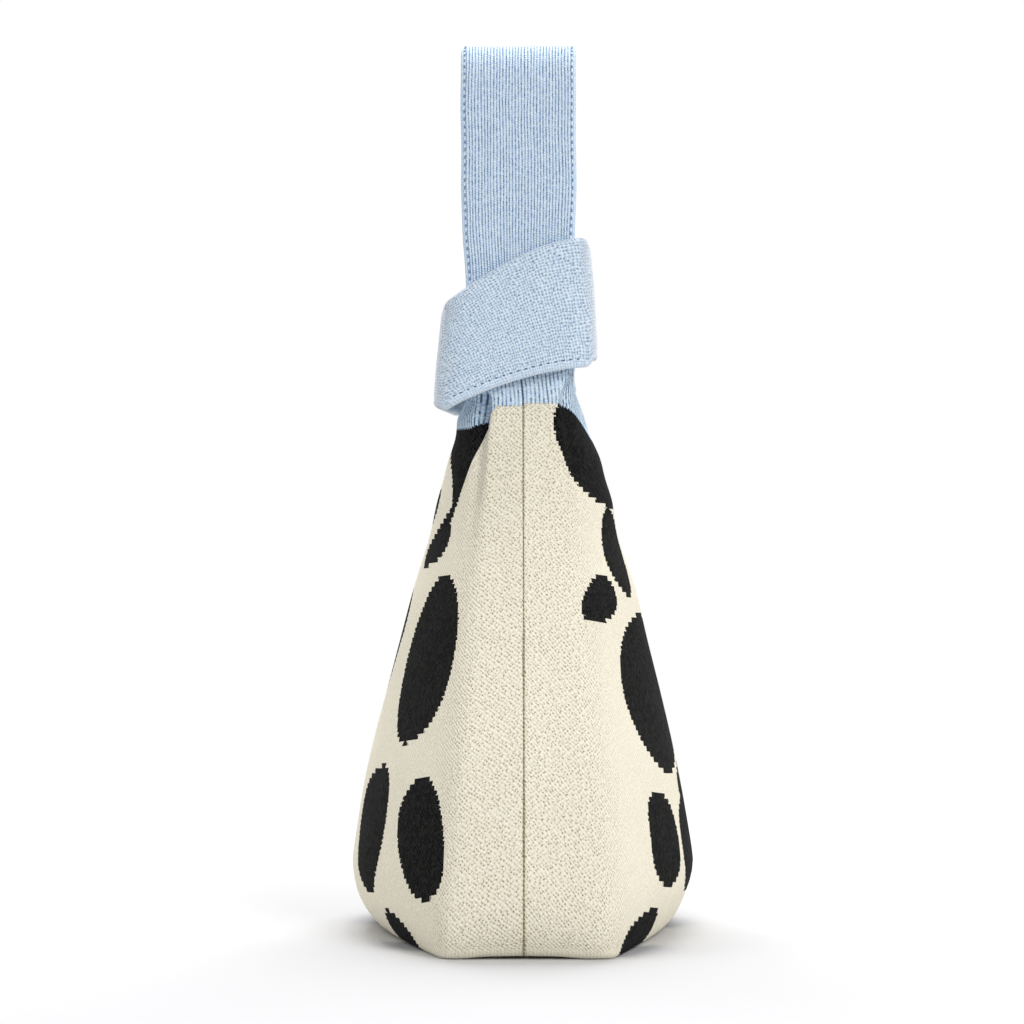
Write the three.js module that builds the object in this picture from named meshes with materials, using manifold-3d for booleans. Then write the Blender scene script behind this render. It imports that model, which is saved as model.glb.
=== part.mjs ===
// Knitted knot bag, standing on its base and closed.
// Two knitted panels are seamed at both ends and along the base, with boxed corners.
// Above the colour line the knit turns blue, narrows to a neck and runs on as two handles.
// The long handle rises from the near end as an upright loop of flat strap.
// The short handle is rooted at the far end and passes round the front of the long one as a slanted band.
// Millimetres, +Z up. X is the bag's thickness, Y its length, and the near end faces -Y.
// The origin is the middle of the base, on the surface that the bag stands on.

import * as THREE from 'three';
import Module from 'manifold-3d';
import { mergeVertices } from 'three/addons/utils/BufferGeometryUtils.js';

// Fits
const WALL = 2.2;
const CLEARANCE = 0.3;

// Bag body, outside sizes
const BASE_THICKNESS = 100;
const BASE_LENGTH = 206;
const BASE_END_WIDTH = 62.6;
const BAG_THICKNESS = 131;
const BAG_LENGTH = 220;
const SIDE_BULGE_HEIGHT = 32;
const END_BULGE_HEIGHT = 24;
const LINE_HEIGHT = 204;
const LINE_THICKNESS = 50;
const LINE_END_WIDTH = 27;
const LINE_SAG = 9;
const YOKE_HEIGHT = 22;
const NECK_LENGTH = 48.8;
const MOUTH_LENGTH = 38;
const MOUTH_DEPTH = 16;
const FORK_WIDTH = 26;
const FORK_DEPTH = 9;
const NECK_HEIGHT = LINE_HEIGHT + YOKE_HEIGHT;

// Slopes of the body's profiles, in millimetres per millimetre of height
const SIDE_SLOPE_AT_BULGE = -0.08;
const SIDE_SLOPE_AT_LINE = -0.12;
const END_SLOPE_AT_BULGE = -0.02;
const END_SLOPE_AT_NECK = -0.05;

// Roundness of the side walls in plan, below the colour line and at the neck
const SIDE_POWER = 2;
const NECK_POWER = 6;

// Seams, each with its allowance turned inside
const SEAM_THICKNESS = 1.2;
const SEAM_RECESS = 0.5;
const SEAM_ALLOWANCE = 6;
const CORNER_SEAM_THICKNESS = 3;
const CORNER_SEAM_MARGIN = 4;

// Hem along each side of the mouth
const HEM_RADIUS = 1.6;

// Long handle
const OVERALL_HEIGHT = 345;
const STRAP_WIDTH = 44.6;
const STRAP_THICKNESS = 4.2;
const STRAP_EDGE_ROUND = 1.4;
const STRAP_OFFSET = -1.8;
const HAND_GAP = 22;
const BEND_LENGTH = 28;
const LOOP_LENGTH = 29.5;

// Short handle, the slanted band
const BAND_THICKNESS = 4.2;
const BAND_SIDE_ROOM = 4.6;
const BAND_FRONT_ROOM = 2.2;
const BAND_LEAN = 3;
const BAND_BACK = 4;
const BAND_POWER = 6;
const BAND_DROP = 22;
const BAND_WIDTH = 37.5;
const BAND_LOW_RISE = 17;
const BAND_TOP_RISE = 26.5;
const ROOT_DROP = 26;
const ROOT_HEIGHT = 38;
const ROOT_INSET = 3;

// Edge stitching
const STITCH_WIDTH = 0.8;
const STITCH_HEIGHT = 0.5;
const STITCH_MARGIN = 1.9;
const BAND_STITCH_MARGIN = 2.7;

// Mesh fineness
const END_STEPS = [0, 0.55, 0.9];
const SIDE_STEPS = [-1, -0.92, -0.78, -0.58, -0.3, 0, 0.3, 0.58, 0.78, 0.92, 1];
const BODY_LEVELS = 16;
const BASE_LEVELS = [0, 0.1, 0.3, 0.6];
const ARCH_STEPS = 12;
const BAND_STEPS = 24;
const CURVE_STEPS = 6;

// Colours of the yarns
const CREAM = 0xe6dcc2;
const BLUE = 0xaecbe8;
const THREAD = 0x9dbbd9;
const SEAM_CREAM = 0xb9ae93;

const wasm = await Module();
wasm.setup();

const bag = new THREE.Group();

// Profile helpers

function hermite(at, from, to) {
  const span = to.at - from.at;
  const t = THREE.MathUtils.clamp((at - from.at) / span, 0, 1);
  const rise = t * t * (3 - 2 * t);
  const leave = t * (1 - t) * (1 - t) * span * from.slope;
  const arrive = t * t * (t - 1) * span * to.slope;
  return from.value + (to.value - from.value) * rise + leave + arrive;
}

function quarterRound(at, height, base, full) {
  const left = 1 - THREE.MathUtils.clamp(at / height, 0, 1);
  return base + (full - base) * Math.sqrt(1 - left * left);
}

// Half of the bag's thickness at the middle of its length.
function halfThickness(z) {
  if (z < SIDE_BULGE_HEIGHT) {
    return quarterRound(z, SIDE_BULGE_HEIGHT, BASE_THICKNESS / 2, BAG_THICKNESS / 2);
  }
  const bulge = { at: SIDE_BULGE_HEIGHT, value: BAG_THICKNESS / 2, slope: SIDE_SLOPE_AT_BULGE };
  const line = { at: LINE_HEIGHT, value: LINE_THICKNESS / 2, slope: SIDE_SLOPE_AT_LINE };
  const neck = { at: NECK_HEIGHT, value: STRAP_WIDTH / 2, slope: 0 };
  return z < LINE_HEIGHT ? hermite(z, bulge, line) : hermite(z, line, neck);
}

// Half of the bag's length.
function halfLength(z) {
  if (z < END_BULGE_HEIGHT) {
    return quarterRound(z, END_BULGE_HEIGHT, BASE_LENGTH / 2, BAG_LENGTH / 2);
  }
  const bulge = { at: END_BULGE_HEIGHT, value: BAG_LENGTH / 2, slope: END_SLOPE_AT_BULGE };
  const neck = { at: NECK_HEIGHT, value: NECK_LENGTH / 2, slope: END_SLOPE_AT_NECK };
  return hermite(z, bulge, neck);
}

// Half of the width of the flat end between its two creases.
function halfEndWidth(z) {
  const taper = (LINE_END_WIDTH - BASE_END_WIDTH) / 2 / LINE_HEIGHT;
  const line = { at: LINE_HEIGHT, value: LINE_END_WIDTH / 2, slope: taper };
  const neck = { at: NECK_HEIGHT, value: STRAP_WIDTH / 2, slope: 0 };
  return z < LINE_HEIGHT ? BASE_END_WIDTH / 2 + taper * z : hermite(z, line, neck);
}

function neckShare(z) {
  return THREE.MathUtils.smoothstep(z, LINE_HEIGHT, NECK_HEIGHT);
}

// The neck leans to the side that the long handle is on.
function middle(z) {
  return STRAP_OFFSET * neckShare(z);
}

// Distance of the side wall's outer face from the middle, at a share of the half length.
function sideReach(share, z, inset) {
  const full = halfThickness(z) - inset;
  const end = Math.min(halfEndWidth(z) - inset / 2, full);
  const power = THREE.MathUtils.lerp(SIDE_POWER, NECK_POWER, neckShare(z));
  return full - (full - end) * Math.abs(share) ** power;
}

// One closed outline of the body in plan, at a height.
function outline(z, inset, placedAt) {
  const length = halfLength(z) - inset;
  const end = sideReach(1, z, inset);
  const half = [];
  END_STEPS.forEach((share) => half.push([share * end, -length]));
  SIDE_STEPS.forEach((share) => half.push([sideReach(share, z, inset), share * length]));
  END_STEPS.slice().reverse().forEach((share) => half.push([share * end, length]));
  const other = half.slice(1, -1).reverse().map(([x, y]) => [-x, y]);
  return half.concat(other).map(([x, y]) => new THREE.Vector3(x + middle(z), y, placedAt));
}

// Mesh helpers

// Six times the signed volume inside a closed skin: negative when its faces point inwards.
function signedVolume(points, faces) {
  let sum = 0;
  for (let i = 0; i < faces.length; i += 3) {
    const [a, b, c] = [points[faces[i]], points[faces[i + 1]], points[faces[i + 2]]];
    sum += a.dot(b.clone().cross(c));
  }
  return sum;
}

// A closed skin through rings of equally many points, with a flat fan at each end.
function loft(rings) {
  const count = rings[0].length;
  const points = rings.flat();
  const faces = [];
  for (let ring = 0; ring + 1 < rings.length; ring += 1) {
    for (let i = 0; i < count; i += 1) {
      const next = (i + 1) % count;
      const a = ring * count + i;
      const b = ring * count + next;
      faces.push(a, b, b + count, a, b + count, a + count);
    }
  }
  [0, rings.length - 1].forEach((ring) => {
    const centre = new THREE.Vector3();
    rings[ring].forEach((point) => centre.addScaledVector(point, 1 / count));
    const hub = points.push(centre) - 1;
    for (let i = 0; i < count; i += 1) {
      const a = ring * count + i;
      const b = ring * count + (i + 1) % count;
      faces.push(hub, ring === 0 ? b : a, ring === 0 ? a : b);
    }
  });
  if (signedVolume(points, faces) < 0) {
    faces.reverse();
  }
  const geometry = new THREE.BufferGeometry().setFromPoints(points);
  geometry.setIndex(faces);
  geometry.computeVertexNormals();
  return geometry;
}

function toSolid(geometry) {
  const bare = geometry.clone();
  bare.deleteAttribute('normal');
  bare.deleteAttribute('uv');
  const merged = mergeVertices(bare);
  const vertProperties = new Float32Array(merged.attributes.position.array);
  const triVerts = new Uint32Array(merged.index.array);
  return new wasm.Manifold(new wasm.Mesh({ numProp: 3, vertProperties, triVerts }));
}

function toGeometry(solid) {
  const mesh = solid.getMesh();
  const geometry = new THREE.BufferGeometry();
  geometry.setAttribute('position', new THREE.BufferAttribute(new Float32Array(mesh.vertProperties), 3));
  geometry.setIndex(new THREE.BufferAttribute(new Uint32Array(mesh.triVerts), 1));
  geometry.computeVertexNormals();
  return geometry;
}

// A flat outline given as length and height, drawn out across the bag's thickness.
function acrossThickness(points, left, right) {
  const shape = new THREE.Shape(points.map(([y, z]) => new THREE.Vector2(y, z)));
  const geometry = new THREE.ExtrudeGeometry(shape, { depth: right - left, bevelEnabled: false });
  const turn = new THREE.Matrix4();
  turn.set(0, 0, 1, left, 1, 0, 0, 0, 0, 1, 0, 0, 0, 0, 0, 1);
  return geometry.applyMatrix4(turn);
}

function block(low, high) {
  const size = high.map((value, axis) => value - low[axis]);
  const geometry = new THREE.BoxGeometry(...size);
  return geometry.translate(...low.map((value, axis) => value + size[axis] / 2));
}

// A flat strap with rounded edges through stations, each with its two edge points and its facing.
function strap(stations, thickness) {
  const rings = stations.map(({ low, high, facing }) => {
    const across = high.clone().sub(low);
    const half = across.length() / 2;
    across.normalize();
    const centre = low.clone().add(high).multiplyScalar(0.5);
    const flat = half - STRAP_EDGE_ROUND;
    const edge = thickness / 2 - STRAP_EDGE_ROUND;
    const section = [
      [-flat, thickness / 2], [-half, edge], [-half, -edge], [-flat, -thickness / 2],
      [flat, -thickness / 2], [half, -edge], [half, edge], [flat, thickness / 2],
    ];
    return section.map(([u, v]) => centre.clone().addScaledVector(across, u).addScaledVector(facing, v));
  });
  return loft(rings);
}

function addPiece(name, geometry, color, roughness = 0.95) {
  const material = new THREE.MeshStandardMaterial({ color, roughness, metalness: 0 });
  const mesh = new THREE.Mesh(geometry, material);
  mesh.name = name;
  bag.add(mesh);
}

// Bag body

const REACH = BAG_LENGTH;
const PANEL_EDGE = SEAM_THICKNESS / 2 + CLEARANCE;

function bodyHeights() {
  const heights = BASE_LEVELS.map((share) => share * END_BULGE_HEIGHT);
  const rest = NECK_HEIGHT - END_BULGE_HEIGHT;
  for (let level = 0; level <= BODY_LEVELS; level += 1) {
    heights.push(END_BULGE_HEIGHT + (rest * level) / BODY_LEVELS);
  }
  return heights;
}

function bodyShell() {
  const heights = bodyHeights();
  const outer = loft(heights.map((z) => outline(z, 0, z)));
  const hollow = heights.filter((z) => z > WALL).map((z) => outline(z, WALL, z));
  hollow.unshift(outline(WALL, WALL, WALL));
  hollow.push(outline(NECK_HEIGHT, WALL, NECK_HEIGHT + WALL));
  return toSolid(outer).subtract(toSolid(loft(hollow)));
}

// Height of the colour line along the bag: level at the ends, sagging at the middle of each side.
function lineHeight(y) {
  const share = THREE.MathUtils.clamp(y / halfLength(LINE_HEIGHT), -1, 1);
  return LINE_HEIGHT - (LINE_SAG * (1 + Math.cos(Math.PI * share))) / 2;
}

function aboveLine(lift) {
  const points = [[REACH, LINE_HEIGHT + lift], [REACH, OVERALL_HEIGHT], [-REACH, OVERALL_HEIGHT]];
  points.push([-REACH, LINE_HEIGHT + lift]);
  const span = halfLength(LINE_HEIGHT);
  for (let step = 0; step <= 2 * CURVE_STEPS; step += 1) {
    const y = span * (step / CURVE_STEPS - 1);
    points.push([y, lineHeight(y) + lift]);
  }
  return toSolid(acrossThickness(points, -BAG_THICKNESS, BAG_THICKNESS));
}

// Point on the edge of the mouth, set in from that edge by a margin.
function mouthPoint(angle, margin) {
  const y = -(MOUTH_LENGTH / 2 - margin) * Math.cos(angle);
  const z = NECK_HEIGHT - (MOUTH_DEPTH - margin) * Math.sin(angle);
  return [y, z];
}

function mouthNotch() {
  const points = [[MOUTH_LENGTH / 2, OVERALL_HEIGHT], [-MOUTH_LENGTH / 2, OVERALL_HEIGHT]];
  for (let step = 0; step <= 2 * CURVE_STEPS; step += 1) {
    points.push(mouthPoint((Math.PI * step) / (2 * CURVE_STEPS), 0));
  }
  return toSolid(acrossThickness(points, -BAG_THICKNESS, BAG_THICKNESS));
}

// The far end forks into the two roots of the short handle.
function farFork() {
  const points = [1, -1].map((side) => new THREE.Vector2((side * FORK_WIDTH) / 2, OVERALL_HEIGHT));
  for (let step = 0; step <= 2 * CURVE_STEPS; step += 1) {
    const angle = (Math.PI * step) / (2 * CURVE_STEPS);
    const x = (-FORK_WIDTH / 2) * Math.cos(angle);
    points.push(new THREE.Vector2(x, NECK_HEIGHT - FORK_DEPTH * Math.sin(angle)));
  }
  const geometry = new THREE.ExtrudeGeometry(new THREE.Shape(points), { depth: REACH, bevelEnabled: false });
  const turn = new THREE.Matrix4();
  turn.set(1, 0, 0, 0, 0, 0, -1, REACH, 0, 1, 0, 0, 0, 0, 0, 1);
  return toSolid(geometry.applyMatrix4(turn));
}

function halfSpace(side) {
  const near = side * PANEL_EDGE;
  const far = side * BAG_THICKNESS;
  const low = [Math.min(near, far), -REACH, -REACH];
  const high = [Math.max(near, far), REACH, OVERALL_HEIGHT];
  return toSolid(block(low, high));
}

const SIDES = [
  { name: 'front', side: -1 },
  { name: 'back', side: 1 },
];

const ENDS = [
  { name: 'near', end: -1, seamTop: NECK_HEIGHT - CLEARANCE },
  { name: 'far', end: 1, seamTop: NECK_HEIGHT - FORK_DEPTH - CLEARANCE },
];

function addPanels() {
  const shell = bodyShell();
  SIDES.forEach(({ name, side }) => {
    const half = shell.intersect(halfSpace(side));
    addPiece(`${name}_panel`, toGeometry(half.subtract(aboveLine(0))), CREAM);
    const yoke = half.intersect(aboveLine(CLEARANCE)).subtract(mouthNotch()).subtract(farFork());
    addPiece(`${name}_yoke`, toGeometry(yoke), BLUE);
  });
}

// The hem follows the edge of the mouth on the middle of the wall.
function addHems() {
  const margin = HEM_RADIUS + CLEARANCE;
  SIDES.forEach(({ name, side }) => {
    const points = [];
    for (let step = 1; step < 2 * CURVE_STEPS; step += 1) {
      const [y, z] = mouthPoint((Math.PI * step) / (2 * CURVE_STEPS), margin);
      const reach = sideReach(y / halfLength(z), z, WALL / 2);
      points.push(new THREE.Vector3(middle(z) + side * reach, y, z));
    }
    const path = new THREE.CatmullRomCurve3(points);
    const section = new THREE.Shape().absarc(0, 0, HEM_RADIUS, 0, 2 * Math.PI);
    const options = { steps: 3 * CURVE_STEPS, curveSegments: 4, extrudePath: path, bevelEnabled: false };
    addPiece(`${name}_mouth_hem`, new THREE.ExtrudeGeometry(section, options), BLUE);
  });
}

// Seams

const SEAM_FOOT = WALL + CLEARANCE + SEAM_ALLOWANCE + CLEARANCE;

function addSideSeams() {
  const steps = 2 * CURVE_STEPS;
  ENDS.forEach(({ name, end, seamTop }) => {
    const outer = [];
    const inner = [];
    for (let step = 0; step <= steps; step += 1) {
      const z = THREE.MathUtils.lerp(SEAM_FOOT, seamTop, step / steps);
      const taper = THREE.MathUtils.smoothstep(z, SEAM_FOOT, LINE_HEIGHT);
      const depth = THREE.MathUtils.lerp(SEAM_ALLOWANCE, WALL, taper);
      outer.push([end * (halfLength(z) - SEAM_RECESS), z]);
      inner.push([end * (halfLength(z) - depth), z]);
    }
    const points = outer.concat(inner.reverse());
    const seam = acrossThickness(points, -SEAM_THICKNESS / 2, SEAM_THICKNESS / 2);
    addPiece(`${name}_side_seam`, seam, SEAM_CREAM);
  });
}

// Each corner is boxed: its seam crosses the end of the base, inside the bag.
function addBaseSeams() {
  const floor = WALL + CLEARANCE;
  const outer = halfLength(floor) - WALL - CLEARANCE;
  const inner = outer - CORNER_SEAM_THICKNESS;
  const reach = BASE_END_WIDTH / 2 - CORNER_SEAM_MARGIN;
  ENDS.forEach(({ name, end }) => {
    const low = [-reach, Math.min(end * outer, end * inner), floor];
    const high = [reach, Math.max(end * outer, end * inner), floor + SEAM_ALLOWANCE];
    addPiece(`${name}_corner_seam`, block(low, high), SEAM_CREAM);
  });
  const length = inner - CLEARANCE;
  const low = [-SEAM_THICKNESS / 2, -length, SEAM_RECESS];
  const high = [SEAM_THICKNESS / 2, length, SEAM_ALLOWANCE];
  addPiece('base_seam', block(low, high), SEAM_CREAM);
}

// Long handle

const NEAR_Y = -NECK_LENGTH / 2 + STRAP_THICKNESS / 2;
const FAR_Y = NEAR_Y + STRAP_THICKNESS + HAND_GAP;
const ARCH_RADIUS = (FAR_Y - NEAR_Y) / 2;
const ARCH_Y = (NEAR_Y + FAR_Y) / 2;
const ARCH_Z = OVERALL_HEIGHT - STRAP_THICKNESS / 2 - ARCH_RADIUS;
const LOOP_LOW = OVERALL_HEIGHT - LOOP_LENGTH;
const BEND_LOW = LOOP_LOW - BEND_LENGTH;
const STRAP_LEFT = STRAP_OFFSET - STRAP_WIDTH / 2;
const STRAP_RIGHT = STRAP_OFFSET + STRAP_WIDTH / 2;

function strapStation(y, z, facing) {
  return {
    low: new THREE.Vector3(STRAP_LEFT, y, z),
    high: new THREE.Vector3(STRAP_RIGHT, y, z),
    facing: new THREE.Vector3(0, facing[0], facing[1]).normalize(),
  };
}

// A straight upright length of the strap.
function uprightStrap(y, bottom, top) {
  const up = [1, 0];
  return strap([strapStation(y, bottom, up), strapStation(y, top, up)], STRAP_THICKNESS);
}

// The far leg leaves the neck against the near one and swings back to open the hand gap.
function farLeg() {
  const rootY = NEAR_Y + STRAP_THICKNESS + CLEARANCE;
  const bottom = NECK_HEIGHT + STRAP_THICKNESS;
  const stations = [];
  for (let step = 0; step <= CURVE_STEPS; step += 1) {
    const share = step / CURVE_STEPS;
    const y = rootY + (FAR_Y - rootY) * share * share * (3 - 2 * share);
    const swing = ((FAR_Y - rootY) * 6 * share * (1 - share)) / (BEND_LOW - bottom);
    stations.push(strapStation(y, THREE.MathUtils.lerp(bottom, BEND_LOW, share), [1, -swing]));
  }
  return strap(stations, STRAP_THICKNESS);
}

// The top of the loop: up the near side, over the fold and down the far side.
function loopStations(grow) {
  const stations = [strapStation(NEAR_Y - grow, LOOP_LOW, [1, 0])];
  for (let step = 0; step <= ARCH_STEPS; step += 1) {
    const angle = Math.PI * (1 - step / ARCH_STEPS);
    const y = ARCH_Y + (ARCH_RADIUS + grow) * Math.cos(angle);
    const z = ARCH_Z + (ARCH_RADIUS + grow) * Math.sin(angle);
    stations.push(strapStation(y, z, [-Math.cos(angle), -Math.sin(angle)]));
  }
  stations.push(strapStation(FAR_Y + grow, LOOP_LOW, [-1, 0]));
  return stations;
}

function addLongHandle() {
  const bendBottom = BEND_LOW + CLEARANCE;
  const bendTop = LOOP_LOW - CLEARANCE;
  const nearBottom = NECK_HEIGHT + CLEARANCE;
  addPiece('long_handle_near_leg', uprightStrap(NEAR_Y, nearBottom, BEND_LOW), BLUE);
  addPiece('long_handle_far_leg', farLeg(), BLUE);
  addPiece('long_handle_near_bend', uprightStrap(NEAR_Y, bendBottom, bendTop), BLUE);
  addPiece('long_handle_far_bend', uprightStrap(FAR_Y, bendBottom, bendTop), BLUE);
  addPiece('long_handle_loop', strap(loopStations(0), STRAP_THICKNESS), BLUE);
}

// A row of edge stitching is one flat thread on the outer face of the strap.
const STITCH_LIFT = STRAP_THICKNESS / 2 + CLEARANCE + STITCH_HEIGHT / 2;
const STITCH_ROWS = [
  { name: 'left', x: STRAP_LEFT + STITCH_MARGIN },
  { name: 'right', x: STRAP_RIGHT - STITCH_MARGIN },
];

function threadRing(station, x) {
  const centre = new THREE.Vector3(x, station.low.y, station.low.z);
  const corners = [[-1, 1], [-1, -1], [1, -1], [1, 1]];
  return corners.map(([u, v]) => {
    const point = centre.clone().addScaledVector(station.facing, (v * STITCH_HEIGHT) / 2);
    point.x += (u * STITCH_WIDTH) / 2;
    return point;
  });
}

function addLongHandleStitching() {
  const y = NEAR_Y - STITCH_LIFT;
  const bottom = NECK_HEIGHT + CLEARANCE;
  const leg = [strapStation(y, bottom, [1, 0]), strapStation(y, BEND_LOW, [1, 0])];
  const loop = loopStations(STITCH_LIFT);
  STITCH_ROWS.forEach(({ name, x }) => {
    const legThread = loft(leg.map((station) => threadRing(station, x)));
    addPiece(`long_handle_leg_${name}_stitching`, legThread, THREAD);
    const loopThread = loft(loop.map((station) => threadRing(station, x)));
    addPiece(`long_handle_loop_${name}_stitching`, loopThread, THREAD);
  });
}

// Short handle

const BAND_REACH = STRAP_WIDTH / 2 + BAND_SIDE_ROOM + BAND_THICKNESS / 2;
const BAND_FRONT = BAND_BACK + NECK_LENGTH / 2 + BAND_FRONT_ROOM + BAND_THICKNESS / 2;
const BAND_LOW_LEFT = NECK_HEIGHT - BAND_DROP;
const BAND_TOP_LEFT = BAND_LOW_LEFT + BAND_WIDTH;
const ROOT_LOW = NECK_HEIGHT - ROOT_DROP;

// A point of the band's path in plan. Angle 0 is its left end, half a turn its right end.
function bandPoint(angle, share, grow) {
  const round = 2 / BAND_POWER;
  const cos = Math.cos(angle);
  const depth = BAND_FRONT + BAND_LEAN * (1 - share) + grow;
  const x = STRAP_OFFSET - Math.sign(cos) * (BAND_REACH + grow) * Math.abs(cos) ** round;
  const y = BAND_BACK - depth * Math.sin(angle) ** round;
  const right = (1 - Math.sign(cos) * Math.abs(cos) ** round) / 2;
  const low = BAND_LOW_LEFT + BAND_LOW_RISE * right;
  const high = BAND_TOP_LEFT + BAND_TOP_RISE * right;
  return new THREE.Vector3(x, y, THREE.MathUtils.lerp(low, high, share));
}

// The outward facing of a strap whose edges are known, from its direction of travel.
function faced(edges) {
  return edges.map(({ low, high }, i) => {
    const before = edges[Math.max(i - 1, 0)].low;
    const after = edges[Math.min(i + 1, edges.length - 1)].low;
    const travel = after.clone().sub(before);
    const facing = travel.cross(high.clone().sub(low)).normalize();
    return { low, high, facing };
  });
}

function bandAngles() {
  const angles = [];
  for (let step = 0; step <= BAND_STEPS; step += 1) {
    angles.push((Math.PI * step) / BAND_STEPS);
  }
  return angles;
}

function addBight() {
  const edges = bandAngles().map((angle) => ({
    low: bandPoint(angle, 0, 0),
    high: bandPoint(angle, 1, 0),
  }));
  addPiece('short_handle_bight', strap(faced(edges), BAND_THICKNESS), BLUE);
}

// A point between two others, with a share of the way for each axis.
function mixed(from, to, share) {
  return to.clone().sub(from).multiply(share).add(from);
}

// Each leg runs back from an end of the band to the outside of the neck's far corner.
function addShortLegs() {
  const rootY = NECK_LENGTH / 2 - ROOT_INSET;
  const rootX = STRAP_WIDTH / 2 + CLEARANCE + BAND_THICKNESS / 2;
  SIDES.forEach(({ name, side }) => {
    const angle = side < 0 ? 0 : Math.PI;
    const start = new THREE.Vector3(0, CLEARANCE, 0);
    const bandLow = bandPoint(angle, 0, 0).add(start);
    const bandHigh = bandPoint(angle, 1, 0).add(start);
    const rootLow = new THREE.Vector3(STRAP_OFFSET + side * rootX, rootY, ROOT_LOW);
    const rootHigh = rootLow.clone().setZ(ROOT_LOW + ROOT_HEIGHT);
    const facing = new THREE.Vector3(side, 0, 0);
    const stations = [];
    for (let step = 0; step <= CURVE_STEPS; step += 1) {
      const share = THREE.MathUtils.smoothstep(step / CURVE_STEPS, 0, 1);
      const along = new THREE.Vector3(share, step / CURVE_STEPS, share);
      const low = mixed(bandLow, rootLow, along);
      const high = mixed(bandHigh, rootHigh, along);
      stations.push({ low, high, facing });
    }
    addPiece(`short_handle_${name}_leg`, strap(stations, BAND_THICKNESS), BLUE);
  });
}

// One row of stitching follows the band's lower edge on its outer face.
function addBandStitching() {
  const lift = BAND_THICKNESS / 2 + CLEARANCE + STITCH_HEIGHT / 2;
  const low = BAND_STITCH_MARGIN / BAND_WIDTH;
  const high = (BAND_STITCH_MARGIN + STITCH_WIDTH) / BAND_WIDTH;
  const edges = bandAngles().map((angle) => ({
    low: bandPoint(angle, low, lift),
    high: bandPoint(angle, high, lift),
  }));
  const rings = faced(edges).map(({ low: bottom, high: top, facing }) => {
    const half = STITCH_HEIGHT / 2;
    return [
      bottom.clone().addScaledVector(facing, half),
      bottom.clone().addScaledVector(facing, -half),
      top.clone().addScaledVector(facing, -half),
      top.clone().addScaledVector(facing, half),
    ];
  });
  addPiece('short_handle_stitching', loft(rings), THREAD);
}

addPanels();
addHems();
addSideSeams();
addBaseSeams();
addLongHandle();
addLongHandleStitching();
addBight();
addShortLegs();
addBandStitching();

export default bag;
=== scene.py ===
"""A knitted knot bag: cream knit with dark cow spots, a blue neck and two blue handles.

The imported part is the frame. Each of its soft solids is replaced here by a knitted piece in the same place.
Lengths are millimetres until a mesh is made, and metres in Blender.
X is the bag's thickness, Y its length with the near end at -Y, and Z is up from the base.
"""

import logging
import math
from dataclasses import dataclass, field
from enum import Enum
from typing import Any, Sequence, Union

import bpy
import numpy as np
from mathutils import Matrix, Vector


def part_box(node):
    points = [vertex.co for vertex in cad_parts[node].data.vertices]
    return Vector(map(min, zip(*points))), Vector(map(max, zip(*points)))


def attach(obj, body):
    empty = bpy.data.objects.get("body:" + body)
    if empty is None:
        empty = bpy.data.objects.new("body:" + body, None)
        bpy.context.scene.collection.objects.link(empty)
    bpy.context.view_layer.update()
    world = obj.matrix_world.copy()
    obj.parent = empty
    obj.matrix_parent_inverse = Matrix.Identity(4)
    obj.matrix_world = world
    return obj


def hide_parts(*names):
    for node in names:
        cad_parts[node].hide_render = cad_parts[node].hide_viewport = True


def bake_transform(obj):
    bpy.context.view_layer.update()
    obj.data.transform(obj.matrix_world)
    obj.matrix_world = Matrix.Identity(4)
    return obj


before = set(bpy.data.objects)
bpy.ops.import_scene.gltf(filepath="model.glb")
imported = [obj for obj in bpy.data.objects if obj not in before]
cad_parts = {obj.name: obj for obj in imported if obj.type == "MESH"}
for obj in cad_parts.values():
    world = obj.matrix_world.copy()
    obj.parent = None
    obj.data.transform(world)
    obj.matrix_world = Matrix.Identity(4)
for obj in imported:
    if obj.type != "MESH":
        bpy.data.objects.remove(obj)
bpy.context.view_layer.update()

LOG = logging.getLogger("knot_bag")
MM = 0.001
TURN = 2.0 * math.pi
YARN_SURFACE = {"Roughness": 0.95, "Specular IOR Level": 0.08, "Sheen Roughness": 0.5}

Colour = tuple[float, float, float, float]
Place = tuple[float, float, float]
Faces = list[tuple[int, ...]]
Values = dict[str, np.ndarray]


class Side(Enum):
    """The two knitted panels, by the side of the bag that they form."""

    FRONT = -1
    BACK = 1


class End(Enum):
    """The two narrow ends of the bag."""

    NEAR = -1
    FAR = 1


class Edge(Enum):
    """The two edges of a strap."""

    LOW = -1
    HIGH = 1


class Stitch(Enum):
    """Knitted structures."""

    LINKS = "links"
    PURL = "purl"
    WALES = "wales"


class Layer(Enum):
    """Layers in which noise is read, so that no two uses of one kind of noise agree."""

    SWAY = 0.0
    RISE = 7.0
    GRAIN = 11.0
    LUCK = 0.0
    BETWEEN = 2.0
    OTHER = 3.0
    STEP = 5.0
    GAP = 9.0


def srgb(red: float, green: float, blue: float) -> Colour:
    """A colour as a picture shows it, 0 to 255, made linear.

    Args:
        red: Red level.
        green: Green level.
        blue: Blue level.

    Returns:
        The colour that a shader socket takes.
    """
    levels = [value / 255.0 for value in (red, green, blue)]
    linear = [x / 12.92 if x <= 0.04045 else ((x + 0.055) / 1.055) ** 2.4 for x in levels]
    return (linear[0], linear[1], linear[2], 1.0)


def smoothstep(low: float, high: float, at: Any) -> Any:
    """How far a value is on the way from low to high, eased at both ends.

    Args:
        low: Where the way starts.
        high: Where it ends.
        at: A number or an array of numbers.

    Returns:
        Shares from 0 to 1.
    """
    share = np.clip((at - low) / (high - low), 0.0, 1.0)
    return share * share * (3.0 - 2.0 * share)


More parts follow.
